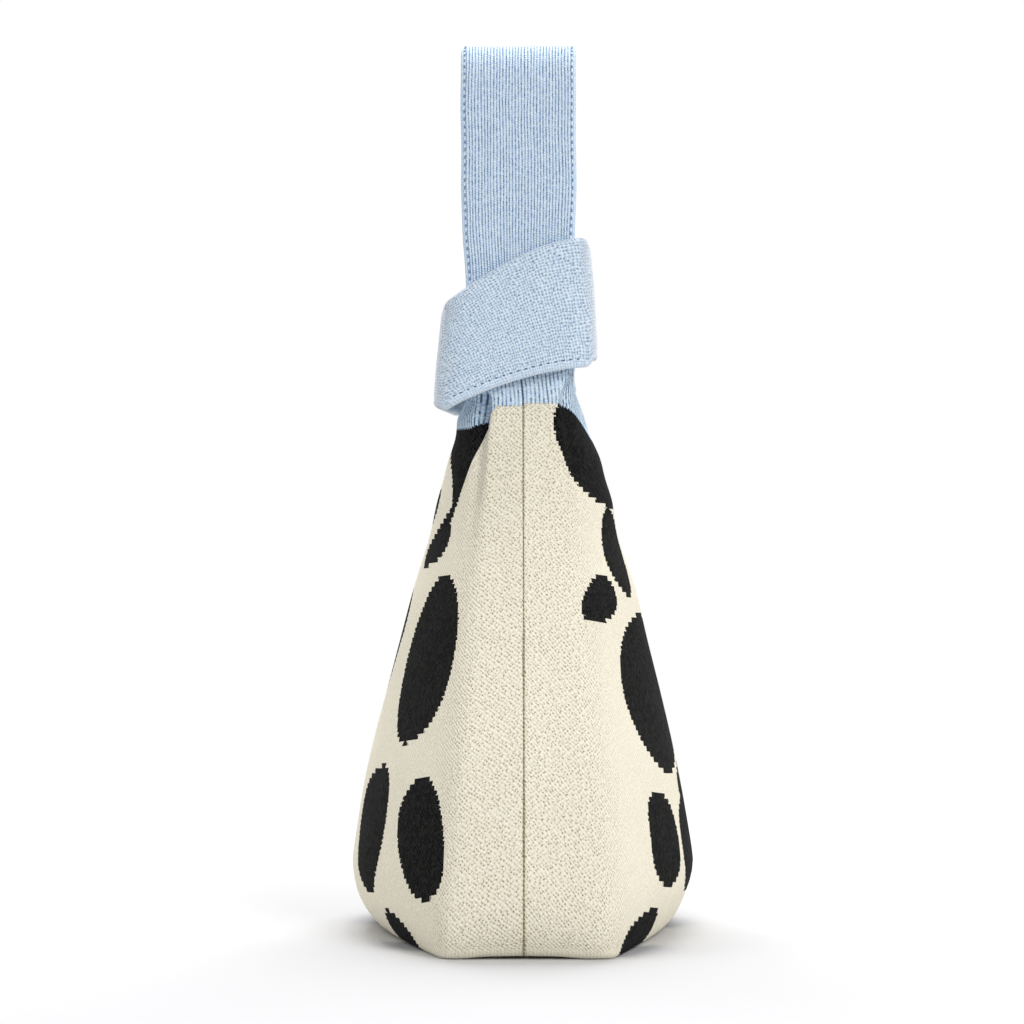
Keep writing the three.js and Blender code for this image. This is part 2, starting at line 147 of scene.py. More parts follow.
def unit(vectors: np.ndarray) -> np.ndarray:
    """Vectors of length one along the last axis.

    Args:
        vectors: Vectors of any length.

    Returns:
        The same directions.
    """
    length = np.linalg.norm(vectors, axis=-1, keepdims=True)
    return vectors / np.maximum(length, 1e-9)


def box_mm(node: str) -> tuple[np.ndarray, np.ndarray]:
    """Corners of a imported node.

    Args:
        node: The node's name.

    Returns:
        Its lowest and its highest corner in millimetres.
    """
    low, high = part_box(node)
    return np.array(low) / MM, np.array(high) / MM


def path_run(path: np.ndarray) -> np.ndarray:
    """Distance along a path at each of its points."""
    return np.concatenate([[0.0], np.cumsum(np.linalg.norm(np.diff(path, axis=0), axis=1))])


def sampled(at: Any, run: np.ndarray, values: np.ndarray) -> np.ndarray:
    """Values read between the points of a path.

    Args:
        at: Where they are read, one number or an array.
        run: Where the points are, rising.
        values: Values of each point, points by parts.

    Returns:
        The values at those places, places by parts.
    """
    return np.stack([np.interp(at, run, part) for part in values.T], -1)


Number = Union[float, "Wire"]


class Wire:
    """A number on a socket. Python's operators on it add Math nodes."""

    def __init__(self, bench: "Bench", socket: bpy.types.NodeSocket) -> None:
        """Keep the socket and its bench.

        Args:
            bench: What its nodes stand on.
            socket: Where the number comes from.
        """
        self.bench = bench
        self.socket = socket

    def _math(self, operation: str, first: Number, second: Number = 0.0) -> "Wire":
        """Add one Math node.

        Args:
            operation: The node's operation.
            first: Its first number.
            second: Its second number, where it takes one.

        Returns:
            The node's result.
        """
        node = self.bench.node("ShaderNodeMath", {"operation": operation}, {0: first, 1: second})
        return Wire(self.bench, node.outputs[0])

    def __add__(self, other: Number) -> "Wire":
        """The sum."""
        return self._math("ADD", self, other)

    __radd__ = __add__

    def __sub__(self, other: Number) -> "Wire":
        """The difference."""
        return self._math("SUBTRACT", self, other)

    def __rsub__(self, other: Number) -> "Wire":
        """The difference, the other way round."""
        return self._math("SUBTRACT", other, self)

    def __mul__(self, other: Number) -> "Wire":
        """The product."""
        return self._math("MULTIPLY", self, other)

    __rmul__ = __mul__

    def __truediv__(self, other: Number) -> "Wire":
        """The quotient."""
        return self._math("DIVIDE", self, other)

    def __rtruediv__(self, other: Number) -> "Wire":
        """The quotient, the other way round."""
        return self._math("DIVIDE", other, self)

    def __pow__(self, other: Number) -> "Wire":
        """The power."""
        return self._math("POWER", self, other)

    def __neg__(self) -> "Wire":
        """The negative."""
        return self._math("MULTIPLY", self, -1.0)

    def __abs__(self) -> "Wire":
        """The size without its sign."""
        return self._math("ABSOLUTE", self)

    def below(self, limit: Number) -> "Wire":
        """1 where the number is below the limit, else 0."""
        return self._math("LESS_THAN", self, limit)

    def floor(self) -> "Wire":
        """The whole part."""
        return self._math("FLOOR", self)

    def fraction(self) -> "Wire":
        """The part after the point."""
        return self._math("FRACT", self)

    def wave(self) -> "Wire":
        """A cosine that repeats with each whole number."""
        return self._math("COSINE", self * TURN)

    def least(self, other: Number) -> "Wire":
        """The smaller of two numbers."""
        return self._math("MINIMUM", self, other)

    def eased(self, low: float, high: float) -> "Wire":
        """How far the number is on the way from low to high, eased at both ends.

        Args:
            low: Where the way starts.
            high: Where it ends.

        Returns:
            A share from 0 to 1.
        """
        settings = {"interpolation_type": "SMOOTHSTEP"}
        node = self.bench.node("ShaderNodeMapRange", settings, {0: self, 1: low, 2: high})
        return Wire(self.bench, node.outputs[0])


class Bench:
    """The node tree of one material or world."""

    def __init__(self, owner: Union[bpy.types.Material, bpy.types.World]) -> None:
        """Empty the owner's node tree.

        Args:
            owner: The material or world.
        """
        self.owner = owner
        self.owner.use_nodes = True
        self.tree = self.owner.node_tree
        self.tree.nodes.clear()

    @staticmethod
    def of_material(name: str) -> "Bench":
        """A bench for a new material of that name."""
        return Bench(bpy.data.materials.new(name))

    def node(self, kind: str, settings: dict[str, Any], sockets: dict[Any, Any]) -> bpy.types.Node:
        """Add one node.

        Args:
            kind: The node's type.
            settings: The node's own settings, which are set first.
            sockets: Values or links of its inputs, by name or number.

        Returns:
            The node.
        """
        node = self.tree.nodes.new(kind)
        for key, value in settings.items():
            setattr(node, key, value)
        for key, value in sockets.items():
            link = value.socket if isinstance(value, Wire) else value
            if isinstance(link, bpy.types.NodeSocket):
                self.tree.links.new(link, node.inputs[key])
            else:
                node.inputs[key].default_value = link
        return node

    def split(self, attribute: str) -> tuple[Wire, Wire, Wire]:
        """The three numbers of a point value.

        Args:
            attribute: The value's name on the mesh.

        Returns:
            Its three parts.
        """
        source = self.node("ShaderNodeAttribute", {"attribute_name": attribute}, {})
        parts = self.node("ShaderNodeSeparateXYZ", {}, {0: source.outputs["Vector"]})
        return (Wire(self, parts.outputs[0]), Wire(self, parts.outputs[1]), Wire(self, parts.outputs[2]))

    def vector(self, x: Number, y: Number, z: Number) -> bpy.types.NodeSocket:
        """A vector of three numbers."""
        return self.node("ShaderNodeCombineXYZ", {}, {0: x, 1: y, 2: z}).outputs[0]

    def noise(self, place: bpy.types.NodeSocket, scale: float, detail: float = 2.0) -> Wire:
        """Smooth noise around 0.5.

        Args:
            place: Where the noise is read.
            scale: Waves for each unit of the place.
            detail: Octaves of finer waves.

        Returns:
            The noise.
        """
        node = self.node("ShaderNodeTexNoise", {}, {"Vector": place, "Scale": scale, "Detail": detail})
        return Wire(self, node.outputs[0])

    def chance(self, place: bpy.types.NodeSocket) -> Wire:
        """A random number from 0 to 1 for each place."""
        return Wire(self, self.node("ShaderNodeTexWhiteNoise", {}, {"Vector": place}).outputs["Value"])

    def object_place(self) -> bpy.types.NodeSocket:
        """The point of the surface in the object's own frame."""
        return self.node("ShaderNodeTexCoord", {}, {}).outputs["Object"]

    def mix(self, share: Number, first: Any, second: Any) -> bpy.types.NodeSocket:
        """A colour between two.

        Args:
            share: How much of the second.
            first: First colour or its socket.
            second: Second colour or its socket.

        Returns:
            The mixed colour.
        """
        node = self.node("ShaderNodeMix", {"data_type": "RGBA"}, {0: share, 6: first, 7: second})
        return node.outputs[2]

    def cloth(self, colour: Any, height: Wire, depth_mm: float, sheen: float) -> bpy.types.Material:
        """Close the tree with a soft matt surface.

        Args:
            colour: Base colour or its socket.
            height: Relief from 0 to 1.
            depth_mm: How deep that relief is.
            sheen: Weight of the yarn's soft sheen.

        Returns:
            The finished material.
        """
        relief = {"Strength": 1.0, "Distance": depth_mm * MM, "Height": height}
        bump = self.node("ShaderNodeBump", {}, relief)
        links = {"Sheen Weight": sheen, "Base Color": colour, "Normal": bump.outputs[0]}
        surface = self.node("ShaderNodeBsdfPrincipled", {}, {**YARN_SURFACE, **links})
        self.node("ShaderNodeOutputMaterial", {}, {0: surface.outputs[0]})
        return self.owner


@dataclass(frozen=True)
class Loops:
    """What a knitted structure gives to a finish."""

    height: Wire
    pit: Wire
    luck: Wire


@dataclass(frozen=True)
class Knit:
    """A knitted structure: its repeat in millimetres and how its stitches show."""

    stitch: Stitch
    across: float
    up: float
    depth: float
    drift: float
    jitter: float = 0.8
    pit_size: float = 0.44
    pit_core: float = 0.25
    least_pit: float = 0.15
    sway_across: float = 0.16
    sway_up: float = 0.16
    swell: float = 0.25
    slant: float = 0.07
    squat: float = 0.8
    bead: float = 0.25
    gap_start: float = 0.35

    def loops(self, bench: Bench, across: Wire, up: Wire) -> Loops:
        """Read the structure.

        Args:
            bench: The material's bench.
            across: Place across the wales in millimetres.
            up: Place along the wales in millimetres.

        Returns:
            Relief, dark pits and a random number for each stitch, all from 0 to 1.
        """
        x, y = across * self.sway_across, up * self.sway_up
        sway = (bench.noise(bench.vector(x, y, Layer.SWAY.value), 1.0) - 0.5) * (2.0 * self.drift)
        rise = (bench.noise(bench.vector(x, y, Layer.RISE.value), 1.0) - 0.5) * (2.0 * self.drift)
        readers = {Stitch.LINKS: self._links, Stitch.PURL: self._purl, Stitch.WALES: self._wales}
        return readers[self.stitch](bench, (across + sway) / self.across, (up + rise) / self.up)

    def _pit(self, x: Wire, y: Wire, other: Wire) -> Wire:
        """A round dark pit of random strength.

        Args:
            x: Place across from its middle in millimetres.
            y: Place along from its middle in millimetres.
            other: A random number for each stitch.

        Returns:
            How dark it is, from 0 to 1.
        """
        away = (x * x + y * y) ** 0.5
        strength = self.least_pit + (1.0 - self.least_pit) * other * other
        return (1.0 - away.eased(self.pit_core * self.pit_size, self.pit_size)) * strength

    def _purl(self, bench: Bench, column: Wire, row: Wire) -> Loops:
        """Loops in rows and columns, with a pit between each four.

        Args:
            bench: The material's bench.
            column: Place across, counted in stitches.
            row: Place along, counted in stitches.

        Returns:
            The loops.
        """
        luck = bench.chance(bench.vector(column.floor(), row.floor(), Layer.LUCK.value))
        other = bench.chance(bench.vector(row.floor(), column.floor(), Layer.OTHER.value))
        x = (column.fraction() - 0.5 + self.jitter * (luck - 0.5)) * self.across
        y = (row.fraction() - 0.5 + self.jitter * (other - 0.5)) * self.up
        return Loops(0.5 + self.swell * (column.wave() + row.wave()), self._pit(x, y, other), luck)

    def _links(self, bench: Bench, column: Wire, row: Wire) -> Loops:
        """Loops that lie as on a chessboard, with a pit between each four.

        Args:
            bench: The material's bench.
            column: Place across, counted in stitches.
            row: Place along, counted in stitches.

        Returns:
            The loops.
        """
        first, second = column + row, column - row
        luck = bench.chance(bench.vector(first.floor(), second.floor(), Layer.LUCK.value))
        other = bench.chance(bench.vector(second.floor(), first.floor(), Layer.OTHER.value))
        x = first.fraction() - 0.5 + self.jitter * (luck - 0.5)
        y = second.fraction() - 0.5 + self.jitter * (other - 0.5)
        half_across, half_up = 0.5 * self.across, 0.5 * self.squat * self.up
        pit = self._pit((x + y) * half_across, (x - y) * half_up, other)
        rising = (self.swell + self.slant) * first.wave()
        falling = (self.swell - self.slant) * second.wave()
        return Loops(0.5 + rising + falling, pit, luck)

    def _wales(self, bench: Bench, column: Wire, row: Wire) -> Loops:
        """Upright ribs of loops, with dark gaps between them.

        Args:
            bench: The material's bench.
            column: Place across, counted in ribs.
            row: Place along, counted in stitches.

        Returns:
            The loops.
        """
        wale = column.floor()
        gap = (column + 0.5).floor()
        step = row + bench.chance(bench.vector(wale, 0.0, Layer.STEP.value))
        luck = bench.chance(bench.vector(wale, step.floor(), Layer.LUCK.value))
        gap_step = row + bench.chance(bench.vector(gap, 0.0, Layer.GAP.value))
        between = bench.chance(bench.vector(gap, gap_step.floor(), Layer.BETWEEN.value))
        valley = abs(column.fraction() - 0.5) * 2.0
        height = (1.0 - valley * valley) * (1.0 - self.bead + self.bead * step.wave())
        pit = valley.eased(self.gap_start, 1.0) * (self.least_pit + (1.0 - self.least_pit) * between)
        return Loops(height, pit, luck)


@dataclass(frozen=True)
class BlueKnit:
    """Blue yarn in one knitted structure."""

    name: str
    knit: Knit
    crest: Colour
    middle: Colour
    pit: Colour
    lift: float = 0.8
    patchy: float = 0.3
    fleck: float = 1.0
    sheen: float = 0.0
    fibre_scale: float = 1100.0
    darkest: float = -0.1
    palest: float = 1.1
    pit_relief: float = 0.3
    luck_relief: float = 0.2

    def coat(self, bench: Bench, across: Wire, up: Wire, calm: Wire) -> tuple[bpy.types.NodeSocket, Wire]:
        """Colour and relief of the yarn.

        Args:
            bench: The material's bench.
            across: Place across the wales in millimetres.
            up: Place along the wales in millimetres.
            calm: How strongly the stitches show, from 0 to 1.

        Returns:
            The colour and the relief.
        """
        loops = self.knit.loops(bench, across, up)
        fibre = bench.noise(bench.object_place(), self.fibre_scale, 1.0)
        shade = self.lift * loops.height + self.patchy * (loops.luck - 0.5) + self.fleck * (fibre - 0.5)
        body = bench.mix(shade.eased(self.darkest, self.palest), self.middle, self.crest)
        colour = bench.mix(loops.pit * calm, body, self.pit)
        stitches = (loops.height - 0.5) * calm - self.pit_relief * loops.pit * calm
        return colour, 0.5 + stitches + self.luck_relief * (loops.luck - 0.5)

    def material(self) -> bpy.types.Material:
        """Build the finish.

        Returns:
            The material.
        """
        bench = Bench.of_material(self.name)
        across, up, calm = bench.split("knit")
        colour, relief = self.coat(bench, across, up, calm)
        return bench.cloth(colour, relief, self.knit.depth, self.sheen)


@dataclass(frozen=True)
class Tone:
    """Shares of a knit's parts in one tone, and the sums at which the tone starts and is full."""

    start: float
    full: float
    height: float
    luck: float
    grain: float
    pit: float = 0.0
    mottle: float = 0.0
    rib: float = 0.0

    def read(self, parts: dict[str, Wire]) -> Wire:
        """Add the parts up.

        Args:
            parts: The knit's parts by name.

        Returns:
            The tone from 0 to 1.
        """
        shares = {name: getattr(self, name) for name in parts}
        total = sum(share * parts[name] for name, share in shares.items() if share)
        return total.eased(self.start, self.full)


@dataclass(frozen=True)
class CowKnit:
    """Cream yarn with dark spots, and the jagged line at which the blue yarn begins."""

    blue: BlueKnit
    name: str = "cream_cow_knit"
    knit: Knit = Knit(Stitch.LINKS, 1.8, 1.97, 0.3, drift=0.9, least_pit=0.35)
    crest: Colour = srgb(250, 244, 226)
    middle: Colour = srgb(229, 222, 201)
    pit: Colour = srgb(148, 130, 92)
    dark_crest: Colour = srgb(45, 45, 44)
    dark_pit: Colour = srgb(4, 4, 4)
    cream_tone: Tone = Tone(0.631, 1.381, height=0.5, luck=0.15, grain=1.2, mottle=0.15, rib=0.3)
    dark_tone: Tone = Tone(0.4, 1.3, height=0.35, luck=0.35, grain=0.9, pit=-0.5)
    grain_scale: float = 1.1
    mottle_scale: float = 90.0
    rib_step: float = 1.3
    loop_relief: float = 0.8
    pit_relief: float = 0.5
    grain_relief: float = 0.35
    rib_relief: float = 0.4
    step_across: float = 0.9
    step_up: float = 2.0
    scallop: float = 0.24
    tooth: float = 0.45

    def material(self) -> bpy.types.Material:
        """Build the finish.

        Returns:
            The material.
        """
        bench = Bench.of_material(self.name)
        across, up, calm = bench.split("knit")
        line, foot, _ = bench.split("zone")
        loops = self.knit.loops(bench, across, up)
        grain = bench.noise(bench.vector(across, up, Layer.GRAIN.value), self.grain_scale)
        mottle = bench.noise(bench.object_place(), self.mottle_scale)
        rib = foot * (0.5 + 0.5 * (across / self.rib_step).wave())
        yarn = {"height": loops.height, "luck": loops.luck, "pit": loops.pit}
        parts = {**yarn, "grain": grain, "mottle": mottle, "rib": rib}
        cream = bench.mix(self.cream_tone.read(parts), self.middle, self.crest)
        cream = bench.mix(loops.pit * calm, cream, self.pit)
        dark = bench.mix(self.dark_tone.read(parts), self.dark_pit, self.dark_crest)
        marked = bench.mix(self._in_spot(bench, across, up), cream, dark)
        blue, blue_relief = self.blue.coat(bench, across, up, calm)
        teeth = self.tooth * (across / self.blue.knit.across).wave()
        above = (-line).below(teeth)
        stitches = (self.loop_relief * (loops.height - 0.5) - self.pit_relief * loops.pit) * calm
        cream_relief = 0.5 + stitches + self.grain_relief * (grain - 0.5) + self.rib_relief * rib
        relief = cream_relief + (blue_relief - cream_relief) * above
        return bench.cloth(bench.mix(above, marked, blue), relief, self.knit.depth, 0.0)

    def _in_spot(self, bench: Bench, across: Wire, up: Wire) -> Wire:
        """Where the dark yarn is. A spot's edge is read once for each stitch, so it runs in small steps.

        Args:
            bench: The material's bench.
            across: Place across the wales in millimetres.
            up: Place along the wales in millimetres.

        Returns:
            1 inside a spot, else 0.
        """
        spot, slope_across, slope_up = bench.split("spot")
        in_row = (up / self.step_up).fraction() - 0.5
        in_column = (across / self.step_across).fraction() - 0.5
        to_middle = slope_up * in_row * -self.step_up + slope_across * in_column * -self.step_across
        bow = in_row * in_row * 8.0 - 1.0  # from -1 at a stitch's middle to 1 at its ends
        bulge = bow * self.scallop * slope_across * slope_across
        return (spot + to_middle + bulge).below(0.0)


@dataclass(frozen=True)
class Thread:
    """Plied sewing thread or seam yarn, which changes its colour at one height and has painted shade along
    its twist.
    """

    name: str
    # Each colour pair runs from the yarn's lit colour to painted shade in the hollows of its twist.
    light: Colour
    dark: Colour
    upper_light: Colour
    upper_dark: Colour
    change_height: float = 0.0
    ply: float = 0.9
    twist: float = 1.3
    fuzz: float = 0.8
    fibre_scale: float = 1500.0
    depth: float = 0.12
    sheen: float = 0.05

    def material(self) -> bpy.types.Material:
        """Build the finish.

        Returns:
            The material.
        """
        bench = Bench.of_material(self.name)
        place = bench.object_place()
        parts = bench.node("ShaderNodeSeparateXYZ", {}, {0: place})
        low = Wire(bench, parts.outputs[2]).below(self.change_height * MM)
        across, up, calm = bench.split("knit")
        # Light and dark alternate along the twist: the dark is painted shade of the hollows between the
        # plies; the fibre noise is the yarn's own uneven tone.
        ply = 0.5 + 0.5 * (up / self.ply + across / self.twist).wave()
        fibre = bench.noise(place, self.fibre_scale)
        shade = (ply + self.fuzz * (fibre - 0.5)).eased(0.1, 0.9) * calm
        lower = bench.mix(shade, self.dark, self.light)
        upper = bench.mix(shade, self.upper_dark, self.upper_light)
        return bench.cloth(bench.mix(low, upper, lower), shade, self.depth, self.sheen)


@dataclass
class Skin:
    """A mesh in the making: points in millimetres, faces, the last of them flat, and point values."""

    points: np.ndarray
    faces: Faces
    values: Values = field(default_factory=dict)
    flat_faces: int = 0

    def piece(self, name: str, material: bpy.types.Material) -> bpy.types.Object:
        """Make the mesh object.

        Args:
            name: The piece's name.
            material: Its finish.

        Returns:
            The object, in the scene.
        """
        mesh = bpy.data.meshes.new(name)
        mesh.from_pydata((self.points * MM).tolist(), [], self.faces)
        mesh.materials.append(material)
        smooth = np.arange(len(self.faces)) < len(self.faces) - self.flat_faces
        mesh.polygons.foreach_set("use_smooth", smooth)
        for key, value in self.values.items():
            layer = mesh.attributes.new(key, "FLOAT_VECTOR", "POINT")
            layer.data.foreach_set("vector", value.astype(np.float32).ravel())
        mesh.validate()
        mesh.update()
        piece = bpy.data.objects.new(name, mesh)
        bpy.context.scene.collection.objects.link(piece)
        LOG.info("%s: %d points", name, len(mesh.vertices))
        return piece

    @staticmethod
    def joined(skins: Sequence["Skin"]) -> "Skin":
        """One skin of several that keep apart.

        Args:
            skins: Skins with the same values.

        Returns:
            All of them together.
        """
        faces = []
        first = 0
        for skin in skins:
            faces += [tuple(index + first for index in face) for face in skin.faces]
            first += len(skin.points)
        keys = skins[0].values
        values = {key: np.concatenate([skin.values[key] for skin in skins]) for key in keys}
        return Skin(np.concatenate([skin.points for skin in skins]), faces, values)


def grid_faces(rows: int, columns: int, first: int, flip: bool) -> Faces:
    """Faces of a grid of points.

    Args:
        rows: Rows of points.
        columns: Points in a row.
        first: Number of the first point.
        flip: Turn the faces over.

    Returns:
        The faces, each of four points.
    """
    row, column = np.mgrid[0:rows - 1, 0:columns - 1]
    corner = (first + row * columns + column).ravel()
    quads = np.stack([corner, corner + 1, corner + columns + 1, corner + columns], 1)
    return [tuple(quad) for quad in (quads[:, ::-1] if flip else quads).tolist()]


def shell(outer: np.ndarray, inner: np.ndarray, values: Values, flip: bool) -> Skin:
    """A closed wall between two grids of points.

    Args:
        outer: Outer points, rows by columns.
        inner: Inner points, the same way.
        values: Values of each column of points, used on both faces.
        flip: Turn the faces over.

    Returns:
        The wall.
    """
    rows, columns = outer.shape[:2]
    count = rows * columns
    faces = grid_faces(rows, columns, 0, flip) + grid_faces(rows, columns, count, not flip)
    index = np.arange(count).reshape(rows, columns)
    around = [index[0, :-1], index[:-1, -1], index[-1, :0:-1], index[:0:-1, 0]]
    border = np.concatenate(around).tolist()
    for a, b in zip(border, border[1:] + border[:1]):
        rim = (b, a, a + count, b + count)
        faces.append(rim[::-1] if flip else rim)
    points = np.concatenate([outer.reshape(-1, 3), inner.reshape(-1, 3)])
    doubled = {key: np.tile(value.reshape(count, -1), (2, 1)) for key, value in values.items()}
    return Skin(points, faces, doubled, len(border))


@dataclass(frozen=True)
class Bend:
    """A point of a profile, with its slope."""

    at: float
    value: float
    slope: float


def hermite(at: np.ndarray, start: Bend, stop: Bend) -> np.ndarray:
    """A smooth profile between two points with slopes.

    Args:
        at: Where it is read.
        start: The point where it starts.
        stop: The point where it ends.

    Returns:
        The profile's values.
    """
    span = stop.at - start.at
    share = np.clip((at - start.at) / span, 0.0, 1.0)
    leave = share * (1.0 - share) ** 2 * span * start.slope
    arrive = share * share * (share - 1.0) * span * stop.slope
    return start.value + (stop.value - start.value) * smoothstep(0.0, 1.0, share) + leave + arrive


def quarter_round(at: np.ndarray, height: float, base: float, full: float) -> np.ndarray:
    """A profile that leaves the base flat and ends upright.

    Args:
        at: Heights at which it is read.
        height: Where it is upright.
        base: Value at the base.
        full: Value at that height.

    Returns:
        The profile's values.
    """
    left = 1.0 - np.clip(at / height, 0.0, 1.0)
    return base + (full - base) * np.sqrt(1.0 - left * left)


@dataclass(frozen=True)
class Way:
    """A stretch over which something comes in."""

    start: float
    full: float

    def share(self, at: Any) -> Any:
        """How far along the stretch values are, from 0 to 1, eased at both ends."""
        return smoothstep(self.start, self.full, at)


@dataclass(frozen=True)
class Wave:
    """A wave over a surface, by the millimetres that one radian of it takes each way."""

    across: float
    along: float
    phase: float = 0.0

    def at(self, across: Any, along: Any) -> Any:
        """Heights from -1 to 1 at places on the surface."""
        return np.sin(across / self.across + along / self.along + self.phase)


@dataclass(frozen=True)
class Swell:
    """A soft fullness of the two sides around one height."""

    height: float
    spread: float
    front: float
    back: float

    def rise(self, z: np.ndarray, side: Side) -> np.ndarray:
        """How far a side stands out at heights z."""
        size = self.front if side is Side.FRONT else self.back
        return size * np.exp(-((z - self.height) / self.spread) ** 2)


@dataclass(frozen=True)
class BodyForm:
    """Outside shape of the bag's body, from the base to the top of the neck."""

    thickness: float
    length: float
    neck_height: float
    neck_width: float
    neck_lean: float
    base_thickness: float = 104.0
    base_length: float = 206.0
    base_end_width: float = 62.6
    side_bulge: float = 27.0
    side_bulge_slope: float = -0.1
    end_bulge: float = 24.0
    end_bulge_slope: float = -0.02
    line_height: float = 204.0
    line_thickness: float = 44.8
    line_slope: float = -0.25
    line_end_width: float = 27.0
    line_sag: float = 9.0
    neck_length: float = 48.8
    neck_end_slope: float = -0.05
    swells: tuple[Swell, ...] = (
        Swell(13.0, 7.0, 0.6, -0.4),
        Swell(26.0, 16.0, 1.2, 1.2),
        Swell(60.0, 24.0, 1.5, 1.0),
        Swell(98.0, 26.0, 0.0, 0.5),
        Swell(134.0, 18.0, 0.7, 1.8),
        Swell(168.0, 11.0, 1.2, 2.6),
        Swell(184.0, 8.0, 0.9, 2.0),
        Swell(200.0, 6.0, 1.8, 0.4),
        Swell(215.0, 8.0, 0.0, -1.2),
    )
    end_skew: float = 0.045
    base_power: float = 1.4
    wall_power: float = 2.0
    neck_power: float = 6.0
    wall_power_way: Way = Way(0.0, 25.0)
    crease_round: float = 3.2
    crease_round_top: float = 1.2
    crease_way: Way = Way(110.0, 190.0)
    end_points: int = 40
    wall_points: int = 241
    outline_steps: int = 600

    @staticmethod
    def from_frame() -> "BodyForm":
        """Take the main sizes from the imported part.

        Returns:
            The form.
        """
        panel_low, panel_high = box_mm("back_panel")
        strap_low, strap_high = box_mm("long_handle_near_leg")
        _, yoke_high = box_mm("back_yoke")
        return BodyForm(
            thickness=2.0 * panel_high[0],
            length=panel_high[1] - panel_low[1],
            neck_height=yoke_high[2],
            neck_width=strap_high[0] - strap_low[0],
            neck_lean=(strap_high[0] + strap_low[0]) / 2.0,
        )

    def half_thickness(self, z: np.ndarray, side: Side) -> np.ndarray:
        """A side's distance from the middle plane, at the middle of the length.

        Args:
            z: Heights.
            side: Which side.

        Returns:
            Distances.
        """
        foot = quarter_round(z, self.side_bulge, self.base_thickness / 2, self.thickness / 2)
        bulge = Bend(self.side_bulge, self.thickness / 2, self.side_bulge_slope)
        line = Bend(self.line_height, self.line_thickness / 2, self.line_slope)
        neck = Bend(self.neck_height, self.neck_width / 2, 0.0)
        wall = np.where(z < self.line_height, hermite(z, bulge, line), hermite(z, line, neck))
        return np.where(z < self.side_bulge, foot, wall) + sum(swell.rise(z, side) for swell in self.swells)

    def half_length(self, z: np.ndarray) -> np.ndarray:
        """Half of the bag's length.

        Args:
            z: Heights.

        Returns:
            Half lengths.
        """
        foot = quarter_round(z, self.end_bulge, self.base_length / 2, self.length / 2)
        bulge = Bend(self.end_bulge, self.length / 2, self.end_bulge_slope)
        neck = Bend(self.neck_height, self.neck_length / 2, self.neck_end_slope)
        return np.where(z < self.end_bulge, foot, hermite(z, bulge, neck))

    def neck_share(self, z: np.ndarray) -> np.ndarray:
        """How far heights z are on the way from the colour line to the neck's top."""
        return smoothstep(self.line_height, self.neck_height, z)

    def half_end(self, z: np.ndarray, side: Side) -> np.ndarray:
        """Width of the flat end from its seam to a side's crease.

        Args:
            z: Heights.
            side: Which side.

        Returns:
            Widths.
        """
        taper = (self.line_end_width - self.base_end_width) / 2 / self.line_height
        line = Bend(self.line_height, self.line_end_width / 2, taper)
        neck = Bend(self.neck_height, self.neck_width / 2, 0.0)
        low = self.base_end_width / 2 + taper * z
        plain = np.where(z < self.line_height, low, hermite(z, line, neck))
        return plain * (1.0 + side.value * self.end_skew * (1.0 - self.neck_share(z)))

    def middle(self, z: np.ndarray) -> np.ndarray:
        """The neck leans to the side that the long handle is on."""
        return self.neck_lean * self.neck_share(z)

    def cut_line(self, y: np.ndarray) -> np.ndarray:
        """Height at which panel and blue top meet, at places y: level at the ends, lower between them."""
        share = np.clip(y / self.half_length(np.array(self.line_height)), -1.0, 1.0)
        return self.line_height - self.line_sag * (1.0 + np.cos(math.pi * share)) / 2.0

    def section(self, z: float, side: Side, end_stops: np.ndarray, wall_stops: np.ndarray) -> np.ndarray:
        """Half of the outline in plan at one height, from the near seam round the side to the far seam.

        Args:
            z: The height.
            side: Which half.
            end_stops: Shares of the way from a seam to its crease.
            wall_stops: Shares of the way from the near crease to the far one.

        Returns:
            For each stop x, y, its distance from the wall's middle, and the outline's half length.
        """
        at = np.array(z)
        length = float(self.half_length(at))
        full = float(self.half_thickness(at, side))
        end = min(float(self.half_end(at, side)), full)
        power = self.base_power + (self.wall_power - self.base_power) * float(self.wall_power_way.share(at))
        power += (self.neck_power - self.wall_power) * float(self.neck_share(at))
        shares = np.linspace(-1.0, 1.0, self.wall_points)
        wall = np.stack([full - (full - end) * np.abs(shares) ** power, shares * length], 1)
        from_seam = np.linspace(0.0, end, self.end_points + 1)[:-1]
        near = np.stack([from_seam, np.full(self.end_points, -length)], 1)
        far = near[::-1] * (1.0, -1.0)
        line = np.concatenate([near, wall, far])
        arc = path_run(line)
        even = np.linspace(0.0, arc[-1], self.outline_steps + 1)
        sharp = float(self.crease_way.share(at))
        radius = self.crease_round + (self.crease_round_top - self.crease_round) * sharp
        x, y = self._rounded(sampled(even, arc, line), even[1], radius).T
        run = arc[-1] - 2.0 * end
        stops = np.concatenate([end_stops * end, end + wall_stops * run, arc[-1] - end_stops[::-1] * end])
        half = np.full(len(stops), arc[-1] / 2.0)
        x_at = side.value * np.interp(stops, even, x) + float(self.middle(at))
        return np.stack([x_at, np.interp(stops, even, y), stops - half, half], 1)

    @staticmethod
    def _rounded(line: np.ndarray, spacing: float, radius: float) -> np.ndarray:
        """Round the creases of an outline.

        Args:
            line: Points in plan at even distances, from the near seam to the far one.
            spacing: Distance from point to point.
            radius: Spread of the rounding.

        Returns:
            The rounded outline.
        """
        reach = int(math.ceil(3.0 * radius / spacing))
        kernel = np.exp(-0.5 * (np.arange(-reach, reach + 1) * spacing / radius) ** 2)
        kernel /= kernel.sum()
        mirror = np.array([-1.0, 1.0])
        wide = np.concatenate([line[reach:0:-1] * mirror, line, line[-2:-reach - 2:-1] * mirror])
        return np.stack([np.convolve(wide[:, k], kernel, "valid") for k in range(2)], 1)


EGG_REACH = 1.3


